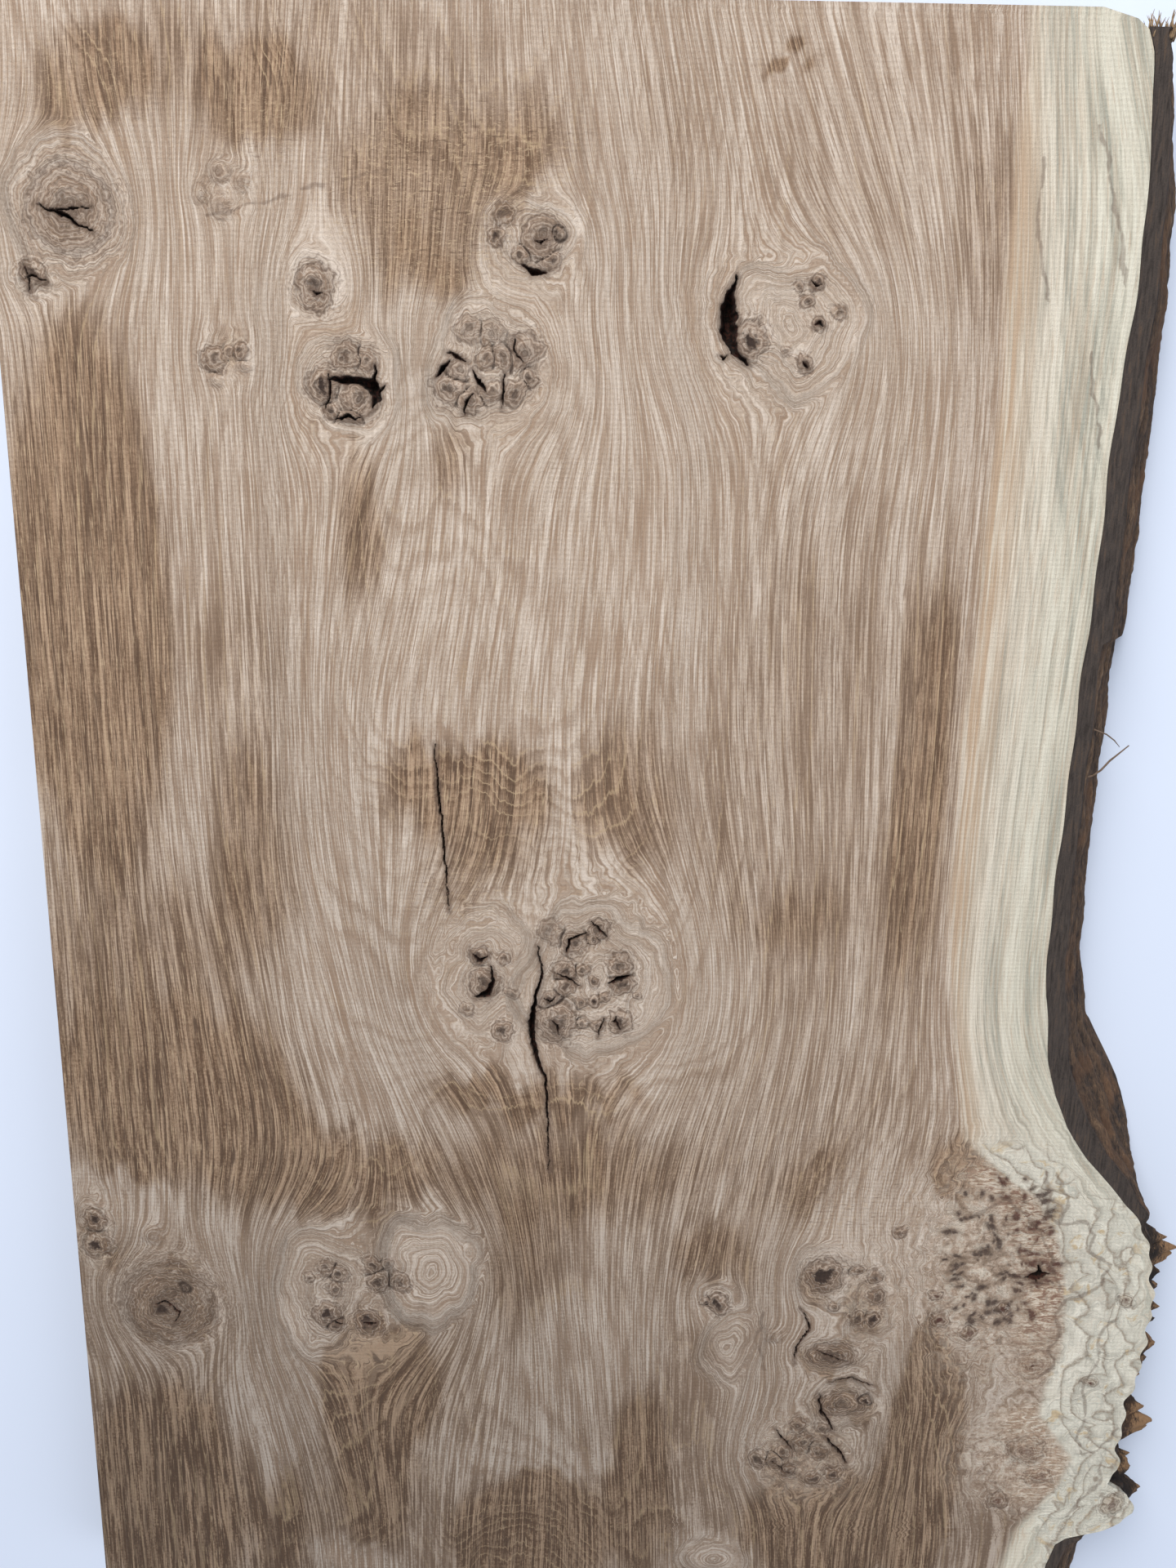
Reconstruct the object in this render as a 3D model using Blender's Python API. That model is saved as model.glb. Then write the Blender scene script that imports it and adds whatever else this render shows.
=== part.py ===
"""Live-edge slab sawn from an oak trunk through its burls.

The slab lies flat on its sawn back. X runs across it from the sawn edge to the
live edge, Y along the trunk, Z through the thickness. Two solids make it up:
the wood, and the bark that still covers the live edge from end to end.

Every surface of the live edge is a height in X over a grid of stations along
the trunk and levels down the thickness, so wood and bark share one grid and
stay a constant gap apart.
"""
import bmesh
import bpy
import numpy as np

MM = 0.001

LENGTH = 652.0
WIDTH = 466.0
THICKNESS = 32.0
TOP_END = -1.4
BOTTOM_END = TOP_END + LENGTH
BARK_START = 4.0
GAP = 0.3
MAX_SLOPE_FACTOR = 2.4

STATION_STEP = 5.0
BURL_STEP = 2.5
BURL_START = 440.0
BURL_END = 615.0
WOOD_LEVELS = 6
BARK_LEVELS = 11

# Rim of the wood on the sawn face: distance down the slab, distance across it.
FACE_RIM = (
    (-1.4, 374.0), (0.6, 382.5), (2.5, 387.5), (4.0, 389.3), (10.7, 391.7),
    (30.0, 394.2), (60.6, 396.1), (90.0, 395.3), (124.5, 393.5), (205.0, 392.4),
    (273.4, 390.9), (330.0, 391.0), (346.8, 391.8), (374.7, 396.2), (390.0, 400.5),
    (403.3, 406.9), (417.5, 416.5), (432.5, 429.5), (447.5, 443.0), (457.5, 446.8),
    (475.0, 450.6), (490.0, 452.2), (500.0, 450.8), (515.0, 450.8), (532.5, 446.9),
    (557.5, 445.8), (567.5, 447.0), (575.0, 443.2), (580.0, 453.5), (590.0, 456.2),
    (595.0, 452.5), (600.0, 443.0), (604.0, 428.5), (607.5, 424.0), (619.0, 420.3),
    (652.0, 420.0),
)
# Rim of the wood on the sawn back, where the trunk is wider.
BACK_RIM = (
    (0.0, 398.0), (10.0, 404.5), (60.0, 412.6), (124.0, 412.8), (205.0, 411.0),
    (289.0, 409.3), (340.0, 410.4), (367.6, 415.4), (397.6, 431.0), (415.0, 438.5),
    (428.0, 441.8), (450.0, 448.0), (475.0, 454.5), (500.0, 457.5), (530.0, 457.0),
    (560.0, 455.0), (590.0, 455.0), (610.0, 452.0), (630.0, 446.0), (652.0, 441.5),
)
# Thickness of the bark along the trunk. The outer layer ends in a step.
BARK_THICKNESS = (
    (0.0, 5.2), (60.0, 6.2), (124.0, 7.4), (206.0, 7.8), (208.0, 5.4), (273.0, 5.8),
    (347.0, 7.0), (403.0, 8.4), (430.0, 6.2), (447.0, 3.2), (470.0, 1.8), (600.0, 1.8),
    (606.0, 4.2), (652.0, 5.0),
)
# Depth below the face at which the bark begins: the burl has lost its top edge.
BARK_DROP = (
    (444.0, 0.0), (447.5, 1.2), (465.0, 3.0), (480.0, 4.0), (590.0, 4.0), (602.0, 2.0),
    (605.0, 0.0),
)
BURL_UNDERCUT = 1.6
SIDE_BOW = 0.22

RIDGE_HEIGHT = 2.4
RIDGE_ROWS = 4.0
RIDGE_BREAK = 31.0

# Spikes of the burl's bark: place down the slab, share of the depth, height, radius.
SPIKES = (
    (460.0, 0.3, 8.5, 6.5), (465.0, 0.3, 12.5, 7.0), (470.0, 0.4, 14.0, 7.5),
    (477.5, 0.3, 6.5, 4.6), (485.0, 0.3, 5.8, 4.2), (495.0, 0.3, 7.4, 5.0),
    (502.5, 0.4, 6.6, 4.2), (512.5, 0.3, 9.6, 7.5), (522.5, 0.3, 3.4, 4.0),
    (545.0, 0.3, 10.5, 7.5), (552.5, 0.3, 15.5, 8.5), (557.5, 0.4, 14.5, 7.0),
    (575.0, 0.3, 11.5, 6.5), (587.5, 0.3, 7.5, 6.5), (610.0, 0.3, 2.5, 5.0),
    (472.5, 0.8, 7.0, 7.0), (490.0, 0.6, 8.0, 7.5), (507.5, 0.8, 6.5, 6.0),
    (527.5, 0.6, 8.5, 8.0), (540.0, 0.8, 7.0, 6.5), (565.0, 0.7, 6.5, 7.0),
    (582.5, 0.8, 8.0, 7.0), (597.5, 0.6, 5.0, 6.0),
)

# Voids and drying cracks: place across, place down, width there; then the depth.
KNOT_CRACK = (((17.0, 65.0, 0.4), (27.0, 68.6, 1.3), (36.0, 73.5, 0.4)), 4.0)
SPLIT_KNOT_VOID = (
    ((115.5, 120.0, 0.8), (120.0, 120.2, 2.8), (126.0, 120.4, 3.0), (130.5, 122.0, 4.4),
     (132.6, 126.0, 3.0), (130.8, 129.5, 0.6)), 7.0)
SPLIT_KNOT_BRANCH = (((131.0, 121.4, 1.6), (131.4, 118.5, 1.4), (132.0, 115.0, 0.4)), 5.0)
LOOSE_KNOT_VOID = (
    ((257.6, 83.5, 0.5), (255.4, 88.5, 2.6), (255.0, 93.0, 5.6), (255.3, 98.0, 6.4),
     (255.6, 103.0, 5.6), (257.4, 107.5, 3.2), (262.5, 112.5, 0.6)), 9.0)
LONG_CRACK = (
    ((191.0, 330.0, 0.4), (192.8, 342.0, 0.9), (190.6, 352.0, 1.6), (188.8, 362.0, 2.8),
     (189.6, 371.0, 2.2), (191.6, 379.0, 1.6), (195.0, 388.0, 1.1), (195.8, 405.0, 0.8),
     (196.6, 428.0, 0.3)), 6.0)
THIN_CRACK = (
    ((151.2, 250.0, 0.3), (152.0, 262.0, 0.6), (154.6, 290.0, 0.7), (156.2, 317.0, 0.3)), 3.5)
EYE_VOID = (
    ((172.8, 339.0, 0.7), (173.4, 345.0, 1.6), (171.6, 350.0, 3.4), (166.0, 352.0, 0.8)), 5.0)
CLUSTER_CRACKS = (
    (((202.6, 332.0, 0.7), (203.6, 327.0, 1.5), (210.0, 324.4, 0.6)), 3.0),
    (((219.0, 345.2, 0.6), (223.0, 343.4, 2.2), (227.4, 342.0, 0.6)), 4.0),
    (((153.2, 118.6, 0.5), (155.4, 115.6, 2.2), (158.0, 113.4, 0.6)), 4.0),
    (((166.4, 116.4, 0.5), (168.5, 119.5, 1.8), (170.6, 123.4, 0.5)), 4.0),
    (((183.4, 81.4, 0.6), (187.0, 83.4, 2.8), (191.4, 83.6, 0.6)), 4.5),
    (((314.0, 531.5, 0.4), (316.2, 542.0, 1.3), (321.5, 549.5, 0.5)), 3.5),
    (((318.0, 553.5, 0.4), (324.0, 559.5, 1.5), (328.4, 567.5, 0.4)), 3.5),
    (((397.0, 472.8, 0.6), (402.4, 471.8, 4.4), (407.0, 471.0, 0.6)), 5.0),
)
CRACK_FLOOR = 0.45
CUT_ABOVE = 1.0

WOOD_FINISH = ((0.52, 0.40, 0.29, 1.0), 0.75)
BARK_FINISH = ((0.10, 0.065, 0.045, 1.0), 0.9)


class Shell:
    """Closed mesh put together face by face from points in millimetres."""

    def __init__(self):
        self.points = []
        self.index = {}
        self.faces = []

    def vertex(self, point):
        """Index of a point, shared by every face that meets it."""
        key = tuple(int(round(value * 1e5)) for value in point)
        if key not in self.index:
            self.index[key] = len(self.points)
            self.points.append(tuple(float(value) for value in point))
        return self.index[key]

    def face(self, points):
        """One face, with points that fall together taken as one."""
        loop = []
        for point in points:
            number = self.vertex(point)
            if number not in loop:
                loop.append(number)
        if len(loop) > 2:
            self.faces.append(loop)

    def quad(self, first, second, third, fourth):
        """Two triangles on the diagonal from the first point to the third."""
        self.face((first, second, third))
        self.face((first, third, fourth))

    def sheet(self, grid, reverse=False):
        """Skin over a grid of points, stations by levels."""
        for row in range(len(grid) - 1):
            for column in range(len(grid[0]) - 1):
                corners = (grid[row][column], grid[row + 1][column],
                           grid[row + 1][column + 1], grid[row][column + 1])
                if reverse:
                    self.face((corners[0], corners[2], corners[1]))
                    self.face((corners[0], corners[3], corners[2]))
                else:
                    self.quad(*corners)

    def build(self, name):
        """Object holding the mesh, in metres about the slab's own centre."""
        mesh = bpy.data.meshes.new(name)
        used = sorted({number for loop in self.faces for number in loop})
        renumber = {old: new for new, old in enumerate(used)}
        centre = np.array((WIDTH / 2.0, -(TOP_END + BOTTOM_END) / 2.0, 0.0))
        points = (np.array([self.points[number] for number in used]) - centre) * MM
        loops = [[renumber[number] for number in loop] for loop in self.faces]
        mesh.from_pydata(points.tolist(), [], loops)
        work = bmesh.new()
        work.from_mesh(mesh)
        bmesh.ops.recalc_face_normals(work, faces=work.faces)
        work.to_mesh(mesh)
        work.free()
        item = bpy.data.objects.new(name, mesh)
        bpy.context.collection.objects.link(item)
        return item


def table(pairs, places):
    """Linear reading of a table of (place, value) pairs."""
    pairs = np.array(pairs)
    return np.interp(places, pairs[:, 0], pairs[:, 1])


def stations():
    """Places down the slab where the live edge is worked out."""
    upper = np.arange(BARK_START + STATION_STEP, BURL_START - 1.0, STATION_STEP)
    burl = np.arange(BURL_START, BURL_END + 0.1, BURL_STEP)
    lower = np.linspace(BURL_END + 6.0, BOTTOM_END, 7)
    corners = (TOP_END, 0.6, 2.5, BARK_START, 206.0, 208.0, 601.2, 604.0)
    return np.unique(np.round(np.concatenate((upper, burl, lower, corners)), 3))


def rim_roughness(places):
    """Small wander of the wood's rim, livelier on the burl."""
    burl = np.clip((places - 430.0) / 25.0, 0.0, 1.0) * np.clip((604.0 - places) / 6.0, 0.0, 1.0)
    slow = 0.35 * np.sin(places / 6.1) + 0.3 * np.sin(places / 13.7 + 1.0)
    quick = 0.8 * np.sin(places / 1.9 + 0.7) + 0.6 * np.sin(places / 3.3)
    ends = np.clip(places / 20.0, 0.0, 1.0) * np.clip((BOTTOM_END - places) / 20.0, 0.0, 1.0)
    return (slow * (1.0 - burl) + quick * burl) * ends


def side_depth(places, share):
    """Depth below the face of a level of the bark-covered side."""
    drop = table(BARK_DROP, places)
    return drop + (THICKNESS - drop) * share


def wood_side(places, share):
    """Place across the slab of the wood under the bark.

    The side runs from the face rim out to the back rim, bowed a little like the
    trunk it was cut from, and steps in below the face where the burl's rim
    overhangs.
    """
    face = table(FACE_RIM, places) + rim_roughness(places)
    back = table(BACK_RIM, places) + 0.6 * rim_roughness(places)
    drop = table(BARK_DROP, places)
    lean = share + SIDE_BOW * share * (1.0 - share)
    inset = BURL_UNDERCUT * np.clip(drop / 4.0, 0.0, 1.0) * (1.0 - share) ** 2
    return face + (back - face) * lean - inset


def slope_factor(places, share):
    """How much longer a run across the slab is than the same run square to the side."""
    step = 2.0
    ahead = wood_side(np.minimum(places + step, BOTTOM_END), share)
    behind = wood_side(np.maximum(places - step, TOP_END), share)
    slope = (ahead - behind) / (2.0 * step)
    return np.minimum(np.sqrt(1.0 + slope ** 2), MAX_SLOPE_FACTOR)


def bark_ridges(places, share):
    """Long furrowed ridges that run along the trunk and break up every few centimetres."""
    wander = 0.22 * np.sin(places / 17.0) + 0.16 * np.sin(places / 7.3 + 2.0)
    rows = np.abs(np.sin(np.pi * (RIDGE_ROWS * share + wander)))
    breaks = 0.72 + 0.28 * np.sin(2.0 * np.pi * (places / RIDGE_BREAK + 0.9 * share))
    return (rows - 0.45) * breaks


def bark_spikes(places, share):
    """Horny spikes of the burl, each a cone with its foot sunk in the bark."""
    total = np.zeros(np.shape(places))
    for centre, level, height, radius in SPIKES:
        along = (places - centre) / radius
        down = (share - level) * THICKNESS / radius
        cone = np.clip(1.0 - np.hypot(along, down), 0.0, 1.0) ** 1.15
        total = np.maximum(total, height * cone)
    return total


def bark_outer(places, share):
    """Place across the slab of the bark's weathered outer surface."""
    inner = wood_side(places, share)
    factor = slope_factor(places, share)
    base = table(BARK_THICKNESS, places)
    burl = np.clip(table(BARK_DROP, places) / 3.0, 0.0, 1.0)
    height = RIDGE_HEIGHT * (1.0 - 0.75 * burl) * np.sin(np.pi * np.clip(share * 1.1, 0.0, 1.0)) ** 0.5
    top_edge = 1.0 - 0.55 * burl * (1.0 - np.clip(share * 5.0, 0.0, 1.0))
    thickness = base * top_edge + height * bark_ridges(places, share)
    thickness = np.maximum(thickness, 0.8)
    across = inner + (GAP + thickness) * factor + bark_spikes(places, share)
    return np.minimum(across, WIDTH)


def side_grid(places, shares, across):
    """Points of one skin of the live edge, stations by levels from the top down."""
    grid = []
    for place in places:
        row = []
        for share in shares:
            depth = side_depth(place, share)
            row.append((float(across(place, share)), -float(place), THICKNESS - float(depth)))
        grid.append(row)
    return grid


def make_wood(places):
    """The slab: flat face, back, ends and sawn edge, and the wood of the live edge."""
    shares = np.linspace(0.0, 1.0, WOOD_LEVELS)
    under = side_grid(places, shares, wood_side)
    face_rim = table(FACE_RIM, places) + rim_roughness(places)
    side = [[(float(across), -float(place), THICKNESS)] + row
            for across, place, row in zip(face_rim, places, under)]
    top, bottom = -TOP_END, -BOTTOM_END
    shell = Shell()
    shell.sheet(side)
    shell.face([(0.0, bottom, THICKNESS), (0.0, top, THICKNESS)] + [row[0] for row in side])
    shell.face([(0.0, top, 0.0), (0.0, bottom, 0.0)] + [row[-1] for row in reversed(side)])
    shell.face([(0.0, top, THICKNESS), (0.0, top, 0.0)] + list(reversed(side[0])))
    shell.face([(0.0, bottom, 0.0), (0.0, bottom, THICKNESS)] + list(side[-1]))
    shell.face([(0.0, bottom, 0.0), (0.0, top, 0.0), (0.0, top, THICKNESS),
                (0.0, bottom, THICKNESS)])
    return shell.build("oak_slab")


def make_bark(places):
    """The bark: one sheet round the whole live edge, ridged, and spiky on the burl."""
    inner_shares = np.linspace(0.0, 1.0, WOOD_LEVELS)
    outer_shares = np.linspace(0.0, 1.0, BARK_LEVELS)
    inner = side_grid(places, inner_shares,
                      lambda place, share: wood_side(place, share)
                      + GAP * slope_factor(place, share))
    outer = side_grid(places, outer_shares, bark_outer)
    shell = Shell()
    shell.sheet(outer)
    shell.sheet(inner, reverse=True)
    shell.sheet([[skin[0], rim[0]] for skin, rim in zip(inner, outer)])
    shell.sheet([[rim[-1], skin[-1]] for skin, rim in zip(inner, outer)])
    shell.face(list(inner[0]) + list(reversed(outer[0])))
    shell.face(list(reversed(inner[-1])) + list(outer[-1]))
    return shell.build("bark")


def groove(name, course, depth):
    """Cutter for a void or crack that follows a course and narrows to its floor."""
    course = np.array(course)
    direction = np.gradient(course[:, :2], axis=0)
    direction /= np.linalg.norm(direction, axis=1)[:, None]
    side = np.stack((-direction[:, 1], direction[:, 0]), axis=1) * course[:, 2:3] / 2.0
    share = np.clip(course[:, 2] / course[:, 2].max(), 0.25, 1.0)
    shell = Shell()
    rows = []
    for (across, down, _), offset, part in zip(course, side, share):
        floor = THICKNESS - depth * part
        row = []
        for reach, height in ((1.0, THICKNESS + CUT_ABOVE), (-1.0, THICKNESS + CUT_ABOVE),
                              (-CRACK_FLOOR, floor), (CRACK_FLOOR, floor)):
            row.append((across + offset[0] * reach, -(down + offset[1] * reach), height))
        rows.append(row)
    for first, second in zip(rows[:-1], rows[1:]):
        for corner in range(4):
            after = (corner + 1) % 4
            shell.quad(first[corner], second[corner], second[after], first[after])
    shell.face(rows[0])
    shell.face(list(reversed(rows[-1])))
    cutter = shell.build(name)
    cutter.hide_render = True
    cutter.display_type = "WIRE"
    return cutter


def cut(item, cutter):
    """Take a cutter away from a solid."""
    modifier = item.modifiers.new("cut_" + cutter.name, "BOOLEAN")
    modifier.operation = "DIFFERENCE"
    modifier.solver = "EXACT"
    modifier.object = cutter


def finish(item, name, look):
    """Give a solid its colour and roughness."""
    colour, roughness = look
    material = bpy.data.materials.new(name)
    material.use_nodes = True
    shader = material.node_tree.nodes["Principled BSDF"]
    shader.inputs["Base Color"].default_value = colour
    shader.inputs["Roughness"].default_value = roughness
    shader.inputs["Metallic"].default_value = 0.0
    item.data.materials.append(material)


def main():
    """Build the wood with its voids and cracks, then the bark round its live edge."""
    for item in list(bpy.data.objects):
        bpy.data.objects.remove(item)
    places = stations()
    wood = make_wood(places)
    finish(wood, "oak_wood", WOOD_FINISH)
    bark = make_bark(places[places >= BARK_START])
    finish(bark, "oak_bark", BARK_FINISH)
    openings = (KNOT_CRACK, SPLIT_KNOT_VOID, SPLIT_KNOT_BRANCH, LOOSE_KNOT_VOID,
                LONG_CRACK, THIN_CRACK, EYE_VOID) + CLUSTER_CRACKS
    for number, (course, depth) in enumerate(openings):
        cut(wood, groove("opening_%02d" % number, course, depth))


main()
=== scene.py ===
"""Visual model of a live-edge slab sawn from an oak trunk through its burls.

Places are worked out in slab millimetres: across from the straight sawn edge,
down from the top end, and height above the sawn back. The wood's figure is a
set of smooth fields over those places. The grain field says which fibre line a
place lies on, the ring field which growth ring, and the eye, void and vein
fields how near it is to a burl eye, an opening or a thin brown line. Meshes
carry the fields as attributes, and the finishes turn them into colour.
"""

import logging
import math
from dataclasses import dataclass
from enum import Enum

import bmesh
import bpy
import numpy as np
from mathutils import Matrix, Vector


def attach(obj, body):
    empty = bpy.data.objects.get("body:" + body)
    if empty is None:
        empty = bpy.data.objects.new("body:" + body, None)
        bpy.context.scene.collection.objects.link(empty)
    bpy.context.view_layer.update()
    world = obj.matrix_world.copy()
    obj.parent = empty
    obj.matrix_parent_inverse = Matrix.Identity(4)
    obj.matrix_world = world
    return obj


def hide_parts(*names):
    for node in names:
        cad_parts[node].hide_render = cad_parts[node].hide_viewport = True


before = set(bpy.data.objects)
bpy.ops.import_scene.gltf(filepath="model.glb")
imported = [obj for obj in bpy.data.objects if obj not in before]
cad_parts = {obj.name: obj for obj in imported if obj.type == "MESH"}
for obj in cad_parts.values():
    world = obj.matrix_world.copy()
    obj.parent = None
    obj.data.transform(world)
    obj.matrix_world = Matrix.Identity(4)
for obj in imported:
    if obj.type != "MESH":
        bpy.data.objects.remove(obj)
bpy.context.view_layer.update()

logging.basicConfig(level=logging.INFO, format="%(name)s: %(message)s")
LOG = logging.getLogger("slab")

Array = np.ndarray
Table = tuple[tuple[float, float], ...]
Course = tuple[tuple[float, float, float], ...]
Colour = tuple[float, float, float]

MM = 0.001


class Slot(Enum):
    """Material slots of the record that the pieces take."""

    WOOD = "oak_wood"
    BARK = "oak_bark"


# ---- Noise and small helpers ----


def hashed(column: Array, row: Array, seed: float) -> Array:
    """Repeatable value from 0 to 1 for each lattice point.

    Args:
        column: Lattice columns.
        row: Lattice rows.
        seed: Number that picks the pattern.

    Returns:
        The fractional part of a large sine of the lattice point.
    """
    wave = np.sin(column * 127.1 + row * 311.7 + seed * 74.7) * 43758.5453
    return wave - np.floor(wave)


def noise(across: Array, down: Array, seed: float) -> Array:
    """Smooth value noise from -1 to 1, with one lattice point a unit.

    Args:
        across: Places along the first axis.
        down: Places along the second axis.
        seed: Number that picks the pattern.

    Returns:
        Lattice values blended with smoothstep weights.
    """
    left, upper = np.floor(across), np.floor(down)
    part, drop = across - left, down - upper
    part = part * part * (3.0 - 2.0 * part)
    drop = drop * drop * (3.0 - 2.0 * drop)
    top = hashed(left, upper, seed) * (1.0 - part) + hashed(left + 1.0, upper, seed) * part
    low = hashed(left, upper + 1.0, seed) * (1.0 - part) + hashed(left + 1.0, upper + 1.0, seed) * part
    return 2.0 * (top * (1.0 - drop) + low * drop) - 1.0


def fractal(across: Array, down: Array, seed: float, octaves: int = 3) -> Array:
    """Sum of noises, each twice as fine and half as strong as the last.

    Args:
        across: Places along the first axis.
        down: Places along the second axis.
        seed: Number that picks the pattern.
        octaves: How many noises are added.

    Returns:
        Values of about -1 to 1.
    """
    total = np.zeros(np.broadcast(across, down).shape)
    for octave in range(octaves):
        scale = 2.0 ** octave
        total = total + noise(across * scale, down * scale, seed + 9.0 * octave) / scale
    return total / 1.6


def smoothstep(low: float, high: float, value: Array) -> Array:
    """Smooth rise from 0 at the low value to 1 at the high value."""
    share = np.clip((value - low) / (high - low), 0.0, 1.0)
    return share * share * (3.0 - 2.0 * share)


def read(table: Table, places: Array) -> Array:
    """Linear reading of a table of (place, value) pairs."""
    pairs = np.array(table)
    return np.interp(places, pairs[:, 0], pairs[:, 1])


def read_smooth(rows: Array, values: Array, places: Array) -> Array:
    """Cubic reading of evenly spaced values, whose slope at a row is that of its neighbours.

    Args:
        rows: Evenly spaced rows.
        values: Value at each row.
        places: Where to read.

    Returns:
        Hermite curve through the values.
    """
    step = rows[1] - rows[0]
    slopes = np.gradient(values)
    at = np.clip((places - rows[0]) / step, 0.0, len(rows) - 1.001)
    low = np.floor(at).astype(int)
    part = at - low
    square, cube = part ** 2, part ** 3
    return (values[low] * (2.0 * cube - 3.0 * square + 1.0)
            + slopes[low] * (cube - 2.0 * square + part)
            + values[low + 1] * (3.0 * square - 2.0 * cube)
            + slopes[low + 1] * (cube - square))


# ---- The slab's outline ----


@dataclass(frozen=True)
class SlabShape:
    """Outline of the slab and its bark, in slab millimetres."""

    width: float = 466.0
    length: float = 652.0
    thickness: float = 32.0
    top: float = -1.4
    bark_start: float = 4.0
    gap: float = 0.2
    side_bow: float = 0.22
    undercut: float = 1.6
    face_rim: Table = (
        (-1.4, 374.0), (0.6, 382.5), (2.5, 387.5), (4.0, 389.3), (10.7, 391.7),
        (30.0, 394.2), (60.6, 396.1), (90.0, 395.3), (124.5, 393.5), (205.0, 392.4),
        (273.4, 390.9), (330.0, 391.0), (346.8, 391.8), (374.7, 396.2), (390.0, 400.5),
        (403.3, 406.9), (417.5, 416.5), (432.5, 429.5), (447.5, 443.0), (457.5, 446.8),
        (475.0, 450.6), (490.0, 452.2), (500.0, 450.8), (515.0, 450.8), (532.5, 446.9),
        (557.5, 445.8), (567.5, 447.0), (575.0, 443.2), (580.0, 453.5), (590.0, 456.2),
        (595.0, 452.5), (600.0, 443.0), (604.0, 428.5), (607.5, 424.0), (619.0, 420.3),
        (652.0, 420.0))
    back_rim: Table = (
        (0.0, 398.0), (10.0, 404.5), (60.0, 412.6), (124.0, 412.8), (205.0, 411.0),
        (289.0, 409.3), (340.0, 410.4), (367.6, 415.4), (397.6, 431.0), (415.0, 438.5),
        (428.0, 441.8), (450.0, 448.0), (475.0, 454.5), (500.0, 457.5), (530.0, 457.0),
        (560.0, 455.0), (590.0, 455.0), (610.0, 452.0), (630.0, 446.0), (652.0, 441.5))
    bark_thickness: Table = (
        (0.0, 5.2), (60.0, 6.2), (124.0, 7.4), (206.0, 7.8), (208.0, 5.4), (273.0, 5.8),
        (347.0, 7.0), (403.0, 8.4), (430.0, 6.2), (447.0, 3.2), (470.0, 1.8), (600.0, 1.8),
        (606.0, 4.2), (652.0, 5.0))
    bark_drop: Table = (
        (444.0, 0.0), (447.5, 1.2), (465.0, 3.0), (480.0, 4.0), (590.0, 4.0), (602.0, 2.0),
        (605.0, 0.0))

    @property
    def bottom(self) -> float:
        """Place of the lower end."""
        return self.top + self.length

    def burl_share(self, down: Array) -> Array:
        """How far a place along the live edge belongs to the burl, from 0 to 1."""
        return np.clip((down - 430.0) / 25.0, 0.0, 1.0) * np.clip((604.0 - down) / 6.0, 0.0, 1.0)

    def roughness(self, down: Array) -> Array:
        """Small wander of the wood's rim, livelier on the burl, none at the ends."""
        burl = self.burl_share(down)
        slow = 0.35 * np.sin(down / 6.1) + 0.3 * np.sin(down / 13.7 + 1.0)
        quick = 0.8 * np.sin(down / 1.9 + 0.7) + 0.6 * np.sin(down / 3.3)
        ends = np.clip(down / 20.0, 0.0, 1.0) * np.clip((self.bottom - down) / 20.0, 0.0, 1.0)
        return (slow * (1.0 - burl) + quick * burl) * ends

    def drop(self, down: Array) -> Array:
        """Depth below the face at which the bark begins."""
        return read(self.bark_drop, down)

    def face_edge(self, down: Array) -> Array:
        """Place across of the wood's rim on the face."""
        return read(self.face_rim, down) + self.roughness(down)

    def side(self, down: Array, share: Array) -> Array:
        """Place across of the wood under the bark.

        Args:
            down: Places down the slab.
            share: Share of the way from the bark's top edge to the back.

        Returns:
            A bowed line from the face rim to the back rim, stepped in under the burl's rim.
        """
        face = self.face_edge(down)
        back = read(self.back_rim, down) + 0.6 * self.roughness(down)
        lean = share + self.side_bow * share * (1.0 - share)
        inset = self.undercut * np.clip(self.drop(down) / 4.0, 0.0, 1.0) * (1.0 - share) ** 2
        return face + (back - face) * lean - inset

    def wood_edge(self, down: Array, depth: Array) -> Array:
        """Place across of the wood's live edge at any depth below the face."""
        drop = self.drop(down)
        share = np.clip((depth - drop) / (self.thickness - drop), 0.0, 1.0)
        above = np.clip(depth / np.maximum(drop, 0.01), 0.0, 1.0)
        rim, under = self.face_edge(down), self.side(down, share)
        return rim + (under - rim) * np.where(depth < drop, above, 1.0)

    def slope_factor(self, down: Array, share: Array) -> Array:
        """How much longer a run across is than the same run square to the side."""
        ahead = self.side(np.minimum(down + 2.0, self.bottom), share)
        behind = self.side(np.maximum(down - 2.0, self.top), share)
        return np.minimum(np.sqrt(1.0 + ((ahead - behind) / 4.0) ** 2), 2.4)

    def to_row(self, across: Array, down: Array, height: Array) -> Array:
        """Places in metres in the shared frame, as rows of three."""
        middle = (self.top + self.bottom) / 2.0
        return np.stack((across - self.width / 2.0, middle - down, height), axis=-1) * MM


SHAPE = SlabShape()


# ---- The wood's figure ----


@dataclass(frozen=True)
class GrainLine:
    """A fibre line followed down the slab, by its place across at evenly spaced rows."""

    rest: float
    course: tuple[float, ...]


@dataclass(frozen=True)
class Swelling:
    """A knot or burl that the grain runs round and that carries wild figure."""

    across: float
    down: float
    reach: float
    length: float
    push: float
    wild: float = 0.0


@dataclass(frozen=True)
class Tone:
    """A patch of browner (above 0) or paler (below 0) wood; a crisp one has a sharper rim."""

    across: float
    down: float
    reach: float
    length: float
    strength: float
    crisp: float = 1.0


@dataclass(frozen=True)
class Stair:
    """A band where the growth rings rise quickly, so that they show as bowed arcs."""

    across: float
    down: float
    reach: float
    length: float
    rise: float
    bow: float


@dataclass(frozen=True)
class Halo:
    """A patch whose fibre lines run round it, inside a clear outline."""

    across: float
    down: float
    reach: float
    length: float


@dataclass(frozen=True)
class Eye:
    """A burl eye or knot: rings round a dark heart."""

    across: float
    down: float
    radius: float
    dark: float = 0.5
    squash: float = 1.0


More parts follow.
